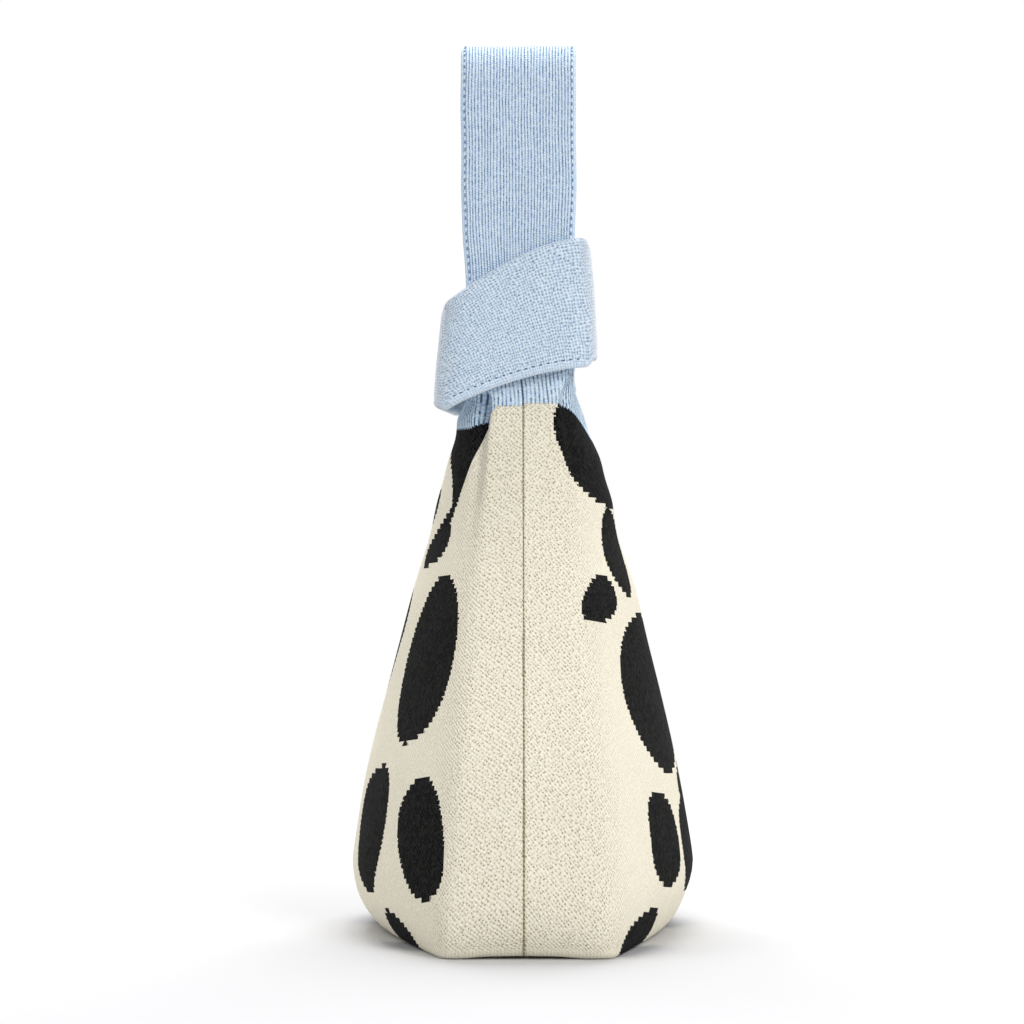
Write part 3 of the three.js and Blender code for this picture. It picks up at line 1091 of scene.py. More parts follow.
@dataclass(frozen=True)
class Spot:
    """A dark spot on a flat panel: its middle from the panel's middle and from the base, and its shape."""

    along: float
    up: float
    half_along: float
    half_up: float
    tilt: float = 0.0
    square: float = 2.2
    egg: float = 0.0
    lobes: float = 0.02

    def distance(self, along: np.ndarray, up: np.ndarray) -> np.ndarray:
        """Distance from the spot's edge, below 0 inside.

        Args:
            along: Places along the panel.
            up: Places up the panel.

        Returns:
            Distances in millimetres.
        """
        turn = math.radians(self.tilt)
        p = (along - self.along) * math.cos(turn) - (up - self.up) * math.sin(turn)
        q = ((along - self.along) * math.sin(turn) + (up - self.up) * math.cos(turn)) / self.half_up
        p = p / (self.half_along * (1.0 + self.egg * np.clip(q, -EGG_REACH, EGG_REACH)))
        reach = (np.abs(p) ** self.square + np.abs(q) ** self.square) ** (1.0 / self.square)
        angle = np.arctan2(q, p)
        wobble = np.sin(3.0 * angle + self.along) + 0.6 * np.sin(5.0 * angle + self.up)
        return (reach / (1.0 + self.lobes * wobble) - 1.0) * min(self.half_along, self.half_up)


FRONT_SPOTS = (
    Spot(-54.3, 107, 19.9, 33.5, 25, 2.1, -0.12),
    Spot(-93.8, 42.5, 14.8, 24.5, 36, 2.4),
    Spot(-43.5, 42, 18.5, 24.5, 10, 2.2, 0.2),
    Spot(-66, 1.5, 14.5, 11, -18),
    Spot(8.5, 113, 23, 22, -10, 2.4, 0.1),
    Spot(62, 92, 18, 31, -36, 2.3),
    Spot(14, 53, 20, 20, 14, 2.3, 0.12),
    Spot(58, 36, 18, 25, -10, 2.2, 0.1),
    Spot(100, 41, 14, 22, -40),
    Spot(26, 5, 20, 10),
    Spot(88, 3, 20, 9, -6),
    Spot(46, 147, 8, 13, -34),
)
FRONT_RINGS = (Spot(-8, 178.5, 21.8, 27, 3.5, 7.0, 0.0, 0.0), Spot(-22.5, 150.3, 12.2, 8, 14, 2.8))
FRONT_EYE = Spot(0, 165.5, 27.5, 24, 0, 1.15)
FRONT_PUPIL = Spot(1, 165.5, 12, 7.5)
BACK_SPOTS = (
    Spot(-15, 186, 22.5, 21, 8, 2.8),
    Spot(-21.5, 147.5, 11.5, 18, 36, 2.8),
    Spot(-56.3, 129.2, 7.0, 17, 70, 2.2, 0.25, 0.0),
    Spot(-27, 93, 38, 28.5, -17, 2.3),
    Spot(-61.3, 39.5, 17.2, 17.5, 10, 2.6),
    Spot(-22, 34, 17.5, 18),
    Spot(-4, 58.5, 22, 7.5, -8),
    Spot(-81, 3, 19, 11.5, -14),
    Spot(52, 122, 18, 26, -36, 2.3),
    Spot(36, 68, 17, 22, 8, 2.2, 0.1),
    Spot(82, 66, 15, 26, -38),
    Spot(58, 22, 19, 16, -8, 2.4, 0.1),
    Spot(104, 19, 10, 15, -30),
    Spot(16, 4, 18, 9),
    Spot(38, 164, 8, 14, -34),
)


def spot_distance(side: Side, along: np.ndarray, up: np.ndarray) -> np.ndarray:
    """Distance from the nearest spot's edge on a panel, below 0 inside.

    Args:
        side: Which panel.
        along: Places along the panel from its middle.
        up: Places up the panel.

    Returns:
        Distances in millimetres.
    """
    spots = FRONT_SPOTS if side is Side.FRONT else BACK_SPOTS
    near = np.minimum.reduce([spot.distance(along, up) for spot in spots])
    if side is Side.BACK:
        return near
    rings = np.minimum.reduce([ring.distance(along, up) for ring in FRONT_RINGS])
    ring = np.maximum(rings, -FRONT_EYE.distance(along, up))
    return np.minimum.reduce([near, ring, FRONT_PUPIL.distance(along, up)])


def ring_faces(rings: int, sides: int) -> Faces:
    """Faces between rings of points.

    Args:
        rings: How many rings.
        sides: Points in each ring.

    Returns:
        The faces, each of four points.
    """
    ring, side = np.mgrid[0:rings - 1, 0:sides]
    here = (ring * sides + side).ravel()
    beside = (ring * sides + (side + 1) % sides).ravel()
    return [tuple(quad) for quad in np.stack([here, beside, beside + sides, here + sides], 1).tolist()]


@dataclass
class Rod:
    """A round yarn: its middle and radius, two directions square to it, and its places in the knit.

    The places run along it and, counted at the gauge as its radius, around it.
    """

    path: np.ndarray
    radius: np.ndarray
    out: np.ndarray
    across: np.ndarray
    run: np.ndarray
    gauge: np.ndarray

    def skin(self, sides: int) -> Skin:
        """Close the rod's surface.

        Args:
            sides: Points around it.

        Returns:
            The skin, with the places around and along the rod as its knit.
        """
        angle = np.linspace(0.0, TURN, sides, endpoint=False)
        out, across = (np.broadcast_to(way, self.path.shape)[:, None] for way in (self.out, self.across))
        spokes = np.cos(angle)[None, :, None] * out + np.sin(angle)[None, :, None] * across
        points = self.path[:, None] + self.radius[:, None, None] * spokes
        along = np.repeat(self.run[:, None], sides, 1)
        around = angle[None] * self.gauge[:, None]
        knit = np.stack([around, along, np.ones_like(along)], 2)
        count = len(self.path)
        faces = [(a, d, c, b) for a, b, c, d in ring_faces(count, sides)]
        faces.append(tuple(range(sides)))
        faces.append(tuple(range(count * sides - 1, (count - 1) * sides - 1, -1)))
        return Skin(points.reshape(-1, 3), faces, {"knit": knit.reshape(-1, 3)})


def tube(path: np.ndarray, facing: Place, radius: Any, sides: int) -> Skin:
    """A round yarn or rolled edge along a path, closed at both ends.

    Args:
        path: Points of its middle.
        facing: A direction that the path never takes.
        radius: Its radius, one number or one for each point.
        sides: Points around it.

    Returns:
        The tube.
    """
    travel = unit(np.gradient(path, axis=0))
    across = unit(np.cross(travel, np.array(facing, float)))
    radii = np.broadcast_to(radius, len(path))
    return Rod(path, radii, np.cross(across, travel), across, path_run(path), radii).skin(sides)


# Points along a stitch: shares of its length, then height and thickness as shares of the thread's radius.
STITCH_PROFILE = (
    (-0.5, -0.9, 0.55), (-0.36, -0.1, 0.9), (-0.15, 0.25, 1.0),
    (0.15, 0.25, 1.0), (0.36, -0.1, 0.9), (0.5, -0.9, 0.55),
)


@dataclass(frozen=True)
class StitchRow:
    """A row of separate stitches, each rising out of the cloth and going in again."""

    pitch: float
    length: float
    radius: float
    margin: float = 0.0
    turn: float = 0.0
    sink: float = 0.22
    ply_shift: float = 0.37
    sides: int = 7

    def sew(self, path: np.ndarray, facing: np.ndarray) -> Skin:
        """Make the stitches along a path.

        Args:
            path: Points of the row, on the cloth.
            facing: The cloth's outward direction at each point.

        Returns:
            All the stitches.
        """
        run = path_run(path)
        travel = unit(np.gradient(path, axis=0))
        share, rise, width = np.array(STITCH_PROFILE).T
        gauge = np.full(len(share), self.radius)
        lean = math.radians(self.turn)
        count = max(1, int((run[-1] - self.length) // self.pitch))
        start = (run[-1] - (count - 1) * self.pitch) / 2.0
        skins = []
        for index in range(count):
            at = start + index * self.pitch
            centre, way, out = (sampled(at, run, values) for values in (path, travel, facing))
            out = unit(out)
            way = unit(way - out * way.dot(out))
            beside = np.cross(way, out)
            along = way * math.cos(lean) + beside * math.sin(lean)
            across = beside * math.cos(lean) - way * math.sin(lean)
            middle = centre + (share * self.length)[:, None] * along + (rise * self.radius)[:, None] * out
            place = share * self.length + index * self.ply_shift
            skins.append(Rod(middle, width * self.radius, out, across, place, gauge).skin(self.sides))
        return Skin.joined(skins)


@dataclass
class Stations:
    """A flat strap's two edges and its outward direction, from its start to its end."""

    low: np.ndarray
    high: np.ndarray
    facing: np.ndarray

    def line(self, edge: Edge, margin: float, lift: float) -> np.ndarray:
        """A line along the strap.

        Args:
            edge: The edge that it follows.
            margin: Its distance from that edge.
            lift: Its height above the strap's middle.

        Returns:
            Points of the line.
        """
        inward = -edge.value * margin * unit(self.high - self.low)
        return (self.low if edge is Edge.LOW else self.high) + inward + self.facing * lift


@dataclass(frozen=True)
class RibbonSection:
    """Cross-section of a flat knitted strap, with a hem at each edge that has a row of stitches."""

    thickness: float
    crown: float
    columns: int
    margins: tuple[tuple[Edge, float], ...] = ()
    edge_points: int = 9
    dip: float = 0.3
    dip_reach: float = 0.8
    still_reach: float = 1.6
    seam_gap: float = 0.12
    seam_sink: float = 0.6
    quiet: float = 0.8
    quiet_way: Way = Way(-0.3, 0.6)
    ripples: tuple[tuple[float, Wave], ...] = ((0.22, Wave(19.0, 11.0)), (0.12, Wave(-8.0, 5.3)))

    def ring(self, half: float) -> tuple[np.ndarray, np.ndarray, np.ndarray]:
        """Points around the section, from the closing seam on the inner face.

        Args:
            half: Half of the strap's width.

        Returns:
            Places across, heights above the middle, and distances round from the outer face's middle.
        """
        radius = self.thickness / 2.0
        flat = half - radius
        inner = np.linspace(self.seam_gap, flat, self.columns // 2 + 1)[:-1]
        edge = np.linspace(-math.pi / 2, math.pi / 2, self.edge_points)
        outer = np.linspace(flat, -flat, self.columns)[1:-1]
        right = flat + radius * np.cos(edge)
        across = np.concatenate([inner, right, outer, -right, -inner[::-1]])
        under = np.full(len(inner), -radius)
        rise = radius * np.sin(edge)
        height = np.concatenate([under, rise, np.full(len(outer), radius), -rise, under])
        swell = self.crown * np.clip(1.0 - (across / half) ** 2, 0.0, 1.0)
        for past in self._past_rows(across, half):
            swell -= self.dip * np.exp(-(past / self.dip_reach) ** 2)
        swell *= np.sign(height)
        swell[[0, -1]] += self.seam_sink
        run = path_run(np.stack([across, height], 1))
        return across, height + swell, run - run[-1] / 2.0

    def _past_rows(self, across: np.ndarray, half: float) -> list[np.ndarray]:
        """Distances past each row of stitches, towards its edge, at places across."""
        return [edge.value * across - half + margin for edge, margin in self.margins]

    def calm(self, across: np.ndarray, half: float) -> np.ndarray:
        """How strongly the stitches show: hardly at all on the hems past the rows of stitches.

        Args:
            across: Places across.
            half: Half of the strap's width.

        Returns:
            Shares from 0 to 1.
        """
        hems = [self.quiet_way.share(past) for past in self._past_rows(across, half)]
        return 1.0 - self.quiet * np.maximum.reduce([np.zeros(len(across)), *hems])

    def ripple(self, across: np.ndarray, half: float, run: float) -> np.ndarray:
        """Waves of the outer face: none under a row of stitches.

        Args:
            across: Places across.
            half: Half of the strap's width.
            run: Place along the strap.

        Returns:
            Distances outward.
        """
        waves = sum(size * wave.at(across, run) for size, wave in self.ripples)
        for past in self._past_rows(across, half):
            waves *= 1.0 - np.exp(-(past / self.still_reach) ** 2)
        return waves


def ribbon(stations: Stations, section: RibbonSection) -> Skin:
    """A flat knitted strap through its stations, closed at both ends.

    Args:
        stations: The strap's edges and outward direction.
        section: Its cross-section.

    Returns:
        The strap, with its faces outward.
    """
    width = np.linalg.norm(stations.high - stations.low, axis=1)
    across = unit(stations.high - stations.low)
    centre = (stations.low + stations.high) / 2.0
    run = path_run(centre)
    skew = (across * unit(np.gradient(centre, axis=0))).sum(1)
    around = section.ring(float(width.mean()) / 2.0)[2]
    rings = []
    knit = []
    for i, middle in enumerate(centre):
        half = width[i] / 2.0
        place, height, _ = section.ring(half)
        outer = height + np.where(height > 0.0, section.ripple(place, half, run[i]), 0.0)
        rings.append(middle + place[:, None] * across[i] + outer[:, None] * stations.facing[i])
        knit.append(np.stack([around, run[i] + skew[i] * place, section.calm(place, half)], 1))
    sides = len(around)
    faces = ring_faces(len(rings), sides)
    last = (len(rings) - 1) * sides
    for i in range(sides // 2 - 1):
        j = sides - 1 - i
        faces.append((i + 1, i, j, j - 1))
        faces.append((last + i, last + i + 1, last + j - 1, last + j))
    points = np.concatenate(rings)
    a, b, c, d = points[np.array(faces)].transpose(1, 0, 2)
    volume = (a * (np.cross(b, c) + np.cross(c, d))).sum()
    if volume < 0.0:
        faces = [face[::-1] for face in faces]
    return Skin(points, faces, {"knit": np.concatenate(knit)})


@dataclass
class Body:
    """The two panels with their blue tops, their seams and the hems of the mouth."""

    form: BodyForm
    cow: bpy.types.Material
    blue: bpy.types.Material
    yarn: bpy.types.Material
    wall: float = 2.2
    seam_edge: float = 0.2
    seam_roll: float = 0.5
    seam_sink: float = 0.42
    seam_start: float = 2.0
    seam_step: float = 0.75
    end_yarn_radius: float = 0.25
    base_yarn_radius: float = 0.42
    base_yarn_height: float = 1.2
    base_yarn_inset: float = 1.5
    yarn_sides: int = 8
    pucker: float = 0.18
    pucker_pitch: float = 6.4
    pucker_reach: float = 3.5
    pleat: float = 2.7
    pleat_way: Way = Way(140.0, 200.0)
    tuck: float = 3.5
    tuck_way: Way = Way(190.0, 206.0)
    fold_place: float = 5.0
    fold_spread: float = 3.9
    fold_back_share: float = 0.3
    fold_fade: Way = Way(207.0, 216.0)
    ridge: float = 2.9
    ridge_way: Way = Way(0.0, 25.0)
    ridge_fade: Way = Way(180.0, 205.0)
    ripple_way: Way = Way(4.0, 30.0)
    broad_ripple: float = 0.45
    broad_waves: tuple[Wave, Wave] = (Wave(17.0, 29.0, 1.3), Wave(-41.0, 23.0))
    fine_ripple: float = 0.16
    fine_waves: tuple[Wave, Wave] = (Wave(7.1, math.inf, 0.7), Wave(31.0, 9.7))
    arch: float = 0.9
    arch_middle: float = -0.5
    arch_half_width: float = 19.0
    arch_side: Way = Way(-2.0, -8.0)
    arch_fade: Way = Way(0.0, 12.0)
    cut_lift: float = 2.6
    crease_share: float = 0.06
    crease_columns: int = 6
    wall_columns: int = 72
    base_rows: int = 14
    foot_rows: int = 12
    row_step: float = 2.6
    dense_from: float = 150.0
    dense_rows: int = 24
    yoke_rows: int = 21
    smile: float = 1070.0
    probe: float = 0.5
    plain_fold: Way = Way(166.0, 172.0)
    plain_fold_side: Way = Way(-27.0, -25.0)
    quiet: float = 0.85
    quiet_way: Way = Way(-3.0, 22.0)
    # Where the facets' pits come back near the top of the neck: partly knit texture, partly painted shade of
    # the fold and of the band above it.
    quiet_fade: Way = Way(192.0, 198.0)
    quiet_fade_side: Way = Way(-1.0, 2.0)
    foot_way: Way = Way(1.5, 4.5)
    front_drops: tuple[tuple[float, Way], ...] = (
        (2.6, Way(-3.4, 0.0)), (2.0, Way(0.0, 1.0)), (4.0, Way(2.0, 14.0)),
    )
    back_lift: float = 1.0
    back_slope: float = 0.13
    back_steeper: float = 0.42
    back_steep_from: float = 7.0
    back_slope_end: float = 31.0
    mouth_length: float = 38.0
    mouth_depth: float = 16.0
    fork_width: float = 26.0
    fork_depth: float = 9.0
    far_end_depth: float = 4.0
    hem_radius: float = 1.7
    hem_inset: float = 0.6
    hem_point: float = 0.2
    hem_taper: Way = Way(0.0, 7.0)
    hem_points: int = 61
    hem_sides: int = 12
    allowance: float = 4.2
    allowance_lift: float = 1.6
    allowance_inset: float = 1.0
    allowance_points: int = 60
    allowance_sway: float = 0.3
    allowance_wave: Wave = Wave(3.1, math.inf)
    allowance_section: RibbonSection = RibbonSection(thickness=2.0, crown=0.5, columns=8)
    overlock: StitchRow = StitchRow(pitch=2.4, length=2.2, radius=0.45, turn=40.0)
    overlock_lift: float = 0.1

    def __post_init__(self) -> None:
        """Work out the columns of the panels and the body's table of outlines."""
        seam_stops = [0.0, 0.012, 0.03, 0.06, 0.1, 0.16, 0.24]
        self.end_stops = np.array(seam_stops + [0.33, 0.43, 0.53, 0.63, 0.73, 0.82, 0.9, 0.96])
        crease = np.linspace(0.0, self.crease_share, self.crease_columns)[:-1]
        between = np.linspace(self.crease_share, 1.0 - self.crease_share, self.wall_columns)
        self.wall_stops = np.concatenate([crease, between, (1.0 - crease)[::-1]])
        self.heights = np.arange(0.0, self.form.neck_height + 0.5, 1.0)
        self.tables = {side: self._table(side) for side in Side}
        profile = self.form.half_thickness(self.heights, Side.FRONT)
        self.profile_run = path_run(np.stack([profile, self.heights], 1))

    def _table(self, side: Side) -> np.ndarray:
        """Outlines of one half at every height of the table.

        Args:
            side: Which half.

        Returns:
            What BodyForm.section gives, heights by columns.
        """
        rows = []
        for z in self.heights:
            edge = self.seam_edge / float(self.form.half_end(np.array(z), side))
            stops = edge + (1.0 - edge) * self.end_stops
            rows.append(self.form.section(float(z), side, stops, self.wall_stops))
        return np.array(rows)

    def _at(self, side: Side, heights: np.ndarray) -> np.ndarray:
        """Read the table at a height for each row and column.

        Args:
            side: Which half.
            heights: Heights, rows by columns.

        Returns:
            x, y, distance from the middle of the wall and half length of the outline, for each.
        """
        table = self.tables[side]
        columns = [sampled(heights[:, c], self.heights, table[:, c]) for c in range(table.shape[1])]
        return np.stack(columns, 1)

    def _ripple(self, along: np.ndarray, up: np.ndarray) -> np.ndarray:
        """Gentle unevenness of the soft wall.

        Args:
            along: Places along the wall.
            up: Places up the wall.

        Returns:
            Distances outward.
        """
        broad, fine = (a.at(along, up) * b.at(along, up) for a, b in (self.broad_waves, self.fine_waves))
        return self.broad_ripple * broad + self.fine_ripple * fine

    def _ridge(self, heights: np.ndarray) -> np.ndarray:
        """How far the seam stands proud of the creases."""
        return self.ridge * self.ridge_way.share(heights) * (1.0 - self.ridge_fade.share(heights))

    def _roll(self, from_seam: np.ndarray) -> np.ndarray:
        """How far a panel's edge rolls in at distances from its seam."""
        left = np.clip(1.0 - from_seam / self.seam_roll, 0.0, 1.0)
        return self.seam_roll * (1.0 - np.sqrt(1.0 - left * left))

    def _fold(self, side: Side, heights: np.ndarray, past: np.ndarray) -> np.ndarray:
        """Depth of the fold beside a crease, where the neck is gathered.

        Args:
            side: Which half.
            heights: Heights of the points.
            past: Their distances past the crease.

        Returns:
            Distances inward.
        """
        depth = self.pleat * self.pleat_way.share(heights) + self.tuck * self.tuck_way.share(heights)
        depth *= 1.0 if side is Side.FRONT else self.fold_back_share
        across = (past - self.fold_place) / self.fold_spread
        return depth * np.exp(-across * across) * (1.0 - self.fold_fade.share(heights))

    def _wall(self, side: Side, heights: np.ndarray) -> tuple[np.ndarray, np.ndarray, np.ndarray]:
        """Outer points of a wall, its outward directions and its flat coordinates.

        Args:
            side: Which half.
            heights: Heights, rows by columns.

        Returns:
            Points, directions, and for each point its place along and the half length of the outline.
        """
        read = self._at(side, heights)
        points = np.stack([read[..., 0], read[..., 1], heights], 2)
        rise = self._at(side, heights + self.probe) - self._at(side, heights - self.probe)
        upward = np.stack([rise[..., 0], rise[..., 1], np.full_like(heights, 2.0 * self.probe)], 2)
        outward = side.value * unit(np.cross(np.gradient(points, axis=1), upward))
        from_seam = read[..., 3] - np.abs(read[..., 2]) - self.seam_edge
        pitch = 1.0 + np.cos(TURN * heights / self.pucker_pitch)
        pucker = self.pucker * pitch * np.exp(-from_seam / self.pucker_reach)
        end = self.form.half_end(heights, side)
        past = from_seam + self.seam_edge - end
        ridge = self._ridge(heights) * np.clip(-past / end, 0.0, 1.0)
        ripple = self._ripple(read[..., 2], heights) * self.ripple_way.share(heights)
        lift = ripple + ridge - self._roll(from_seam) - pucker - self._fold(side, heights, past)
        points = points + outward * lift[..., None]
        across = (read[..., 0] - self.arch_middle) / self.arch_half_width
        on_end = np.exp(-across ** 6) * self.arch_side.share(past) * (read[..., 1] < 0.0)
        points[..., 2] += self.arch * on_end * (1.0 - self.arch_fade.share(heights))
        return points, outward, read[..., 2:]

    def _knit(self, side: Side, heights: np.ndarray, flat: np.ndarray, up: np.ndarray) -> Values:
        """Knit coordinates, spots and colour line of the points of a wall.

        Args:
            side: Which half.
            heights: Heights of the points, below 0 for places on the base.
            flat: Places along and half lengths of the outline.
            up: Run of the profile at the points.

        Returns:
            Values by name, rows by columns.
        """
        along, half = flat[..., 0], flat[..., 1]
        inward = -np.sign(along)
        across = side.value * (half - np.abs(along))
        course = up - along * along / self.smile
        spot = spot_distance(side, along, heights)
        beside = spot_distance(side, along + self.probe, heights)
        slope_across = side.value * inward * (beside - spot) / self.probe
        half_above = np.interp(heights + self.probe, self.heights, self.tables[side][:, 0, 3])
        above = spot_distance(side, along - inward * (half_above - half), heights + self.probe)
        slope_up = (above - spot) / self.probe
        if side is Side.FRONT:
            stepped = 1.0 - self.plain_fold.share(heights) * (1.0 - self.plain_fold_side.share(along))
            slope_across, slope_up = slope_across * stepped, slope_up * stepped
        past = half - np.abs(along) - self.form.half_end(np.clip(heights, 0.0, None), side)
        # At the top of the facets the pits come back, strongest just past the creases: the stitches are knit
        # texture, and the extra darkness is painted shade of the fold and of the band above it.
        pits_as_neck_shade = self.quiet_fade.share(heights) * self.quiet_fade_side.share(past)
        calm = 1.0 - self.quiet * (self.quiet_way.share(past) - pits_as_neck_shade)
        foot = 1.0 - self.foot_way.share(heights)
        line = heights - self._blue_line(side, past)
        return {
            "knit": np.stack([across, course, calm * (1.0 - foot)], 2),
            "spot": np.stack([spot, slope_across, slope_up], 2),
            "zone": np.stack([line, foot, np.zeros_like(line)], 2),
        }

    def _blue_line(self, side: Side, past: np.ndarray) -> np.ndarray:
        """Height at which the blue yarn begins: level on the ends, lower past the creases.

        Args:
            side: Which half.
            past: Distance past the crease, below 0 on the end.

        Returns:
            Heights.
        """
        if side is Side.FRONT:
            return self.form.line_height - sum(depth * way.share(past) for depth, way in self.front_drops)
        slope = self.back_slope * np.clip(past, 0.0, self.back_slope_end)
        steep = np.clip(past, self.back_steep_from, self.back_slope_end) - self.back_steep_from
        return self.form.line_height + self.back_lift - slope - self.back_steeper * steep

    def _cut(self, side: Side) -> np.ndarray:
        """Height at which a panel ends and its blue top begins, for each column."""
        line_row = int(self.form.line_height)
        return self.form.cut_line(self.tables[side][line_row, :, 1]) + self.cut_lift

    def _panel(self, side: Side) -> bpy.types.Object:
        """One cream panel with its half of the base, up to just above the colour line.

        Args:
            side: Which panel.

        Returns:
            The piece.
        """
        foot = self.form.side_bulge * (1.0 - np.cos(np.linspace(0.0, math.pi / 2, self.foot_rows)))
        straight = np.arange(self.form.side_bulge, self.dense_from, self.row_step)[1:]
        shares = np.append(np.linspace(0.0, 0.96, self.dense_rows), [0.995, 1.0])
        columns = self.tables[side].shape[1]
        low = np.repeat(np.concatenate([foot, straight])[:, None], columns, 1)
        high = self.dense_from + shares[:, None] * (self._cut(side)[None, :] - self.dense_from)
        heights = np.concatenate([low, high])
        outer, outward, flat = self._wall(side, heights)
        up = np.interp(heights, self.heights, self.profile_run)
        knit = self._knit(side, heights, flat, up)
        walls = {"outer": outer, "inner": outer - outward * self.wall, **knit}
        base = self._base(side, outer[0], flat[0])
        values = {key: np.concatenate([base[key], walls[key]]) for key in walls}
        skin = shell(values.pop("outer"), values.pop("inner"), values, side is Side.FRONT)
        return skin.piece(f"{side.name.lower()}_panel_knit", self.cow)

    def _base(self, side: Side, rim: np.ndarray, flat: np.ndarray) -> Values:
        """Half of the base, from its middle seam out to the foot of the wall.

        Args:
            side: Which half.
            rim: Points of the wall's foot.
            flat: Their flat coordinates.

        Returns:
            Outer and inner points and values, rows by columns without the rim itself.
        """
        shares = np.linspace(0.0, 1.0, self.base_rows + 1)[:-1]
        columns = len(rim)
        seam_y = np.linspace(-1.0, 1.0, columns) * (np.abs(rim[:, 1]).max() - 1.0)
        seam = np.stack([np.full(columns, side.value * self.seam_edge), seam_y, np.zeros(columns)], 1)
        outer = seam[None] + shares[:, None, None] * (rim - seam)[None]
        away = np.linalg.norm(outer - rim[None], axis=2)
        roll = self._roll(np.abs(outer[..., 0]) - self.seam_edge)
        outer[..., 2] = roll + rim[None, :, 2] * shares[:, None]
        inner = outer + np.array([0.0, 0.0, self.wall])
        spread = np.repeat(flat[None], len(shares), 0)
        return {"outer": outer, "inner": inner, **self._knit(side, -away, spread, -away)}

    def _yoke_top(self, side: Side) -> np.ndarray:
        """Height of a blue top's upper edge: it dips at the mouth and at the far fork.

        Args:
            side: Which blue top.

        Returns:
            A height for each column.
        """
        table = self.tables[side]
        x = table[..., 0] - self.form.middle(self.heights)[:, None]
        y = table[..., 1]
        mouth = np.sqrt(np.clip(1.0 - (2.0 * y / self.mouth_length) ** 2, 0.0, 1.0)) * self.mouth_depth
        fork = np.sqrt(np.clip(1.0 - (2.0 * x / self.fork_width) ** 2, 0.0, 1.0)) * self.fork_depth
        on_far_end = y > self.form.half_length(self.heights)[:, None] - self.far_end_depth
        cut = self.form.neck_height - np.where(on_far_end, fork, mouth)
        above = self.heights[:, None] >= cut
        first = np.where(above.any(0), above.argmax(0), len(self.heights) - 1)
        return self.heights[first]

    def _yoke(self, side: Side) -> bpy.types.Object:
        """One blue top, from just above the colour line to the mouth and the neck.

        Args:
            side: Which blue top.

        Returns:
            The piece.
        """
        bottom = self._cut(side)
        top = np.maximum(self._yoke_top(side), bottom + 1.0)
        shares = np.append([0.0, 0.008], np.linspace(0.05, 1.0, self.yoke_rows))
        heights = bottom[None, :] + shares[:, None] * (top - bottom)[None, :]
        outer, outward, flat = self._wall(side, heights)
        up = np.interp(heights, self.heights, self.profile_run)
        values = {"knit": self._knit(side, heights, flat, up)["knit"]}
        skin = shell(outer, outer - outward * self.wall, values, side is Side.FRONT)
        return skin.piece(f"{side.name.lower()}_yoke_knit", self.blue)

    def _hem(self, side: Side) -> bpy.types.Object:
        """The rolled hem along one side of the mouth.

        Args:
            side: Which side.

        Returns:
            The piece.
        """
        angles = np.linspace(0.0, math.pi, self.hem_points)
        y = -(self.mouth_length / 2 - self.hem_inset) * np.cos(angles)
        z = self.form.neck_height - (self.mouth_depth - self.hem_inset) * np.sin(angles)
        x = np.array([self._on_side(side, *place) for place in zip(y, z)]) - side.value * self.wall / 2
        path = np.stack([x, y, z], 1)
        run = path_run(path)
        from_end = np.minimum(run, run[-1] - run)
        full = self.hem_taper.share(from_end)
        radius = self.hem_radius * (self.hem_point + (1.0 - self.hem_point) * full)
        skin = tube(path, (side.value, 0.0, 0.0), radius, self.hem_sides)
        return skin.piece(f"{side.name.lower()}_mouth_hem_knit", self.blue)

    def _on_side(self, side: Side, y: float, z: float) -> float:
        """The place across of a side wall's outer face.

        Args:
            side: Which side.
            y: Place along the bag.
            z: Height.

        Returns:
            x at that place.
        """
        row = self._at(side, np.full((1, self.tables[side].shape[1]), z))[0]
        wall = slice(len(self.end_stops), -len(self.end_stops))
        return float(np.interp(y, row[wall, 1], row[wall, 0]))

    def _end_seam(self, end: End) -> bpy.types.Object:
        """The yarn that closes one end, sunk between the rolled edges of the panels.

        Args:
            end: Which end.

        Returns:
            The piece.
        """
        top = self.form.neck_height - (0.0 if end is End.NEAR else self.fork_depth + 1.0)
        z = np.arange(self.seam_start, top, self.seam_step)
        y = end.value * (self.form.half_length(z) + self._ridge(z) - self.seam_sink)
        path = np.stack([self.form.middle(z), y, z], 1)
        skin = tube(path, (0.0, end.value, 0.0), self.end_yarn_radius, self.yarn_sides)
        return skin.piece(f"{end.name.lower()}_side_seam_yarn", self.yarn)

    def _base_seam(self) -> bpy.types.Object:
        """The yarn that closes the base.

        Returns:
            The piece.
        """
        reach = self.form.base_length / 2 - self.base_yarn_inset
        y = np.arange(-reach, reach, self.seam_step)
        path = np.stack([np.zeros(len(y)), y, np.full(len(y), self.base_yarn_height)], 1)
        skin = tube(path, (0.0, 0.0, -1.0), self.base_yarn_radius, self.yarn_sides)
        return skin.piece("base_seam_yarn", self.yarn)

    def _corner_seam(self, end: End) -> bpy.types.Object:
        """The boxed corner's allowance, turned up inside the bag, with its overlock stitches.

        Args:
            end: Which end.

        Returns:
            The piece.
        """
        low, high = box_mm(f"{end.name.lower()}_corner_seam")
        inset = self.allowance_inset
        x = np.linspace(low[0] + inset, high[0] - inset, self.allowance_points)
        y = (low[1] + high[1]) / 2.0 + self.allowance_sway * self.allowance_wave.at(x, 0.0)
        path = np.stack([x, y, np.full(len(x), low[2] + self.allowance_lift)], 1)
        upright = np.tile([0.0, 0.0, 1.0], (len(x), 1))
        facing = np.tile([0.0, float(end.value), 0.0], (len(x), 1))
        stations = Stations(path, path + upright * self.allowance, facing)
        cloth = ribbon(stations, self.allowance_section)
        stitches = self.overlock.sew(stations.high + upright * self.overlock_lift, upright)
        return Skin.joined([cloth, stitches]).piece(f"{end.name.lower()}_corner_seam_yarn", self.yarn)

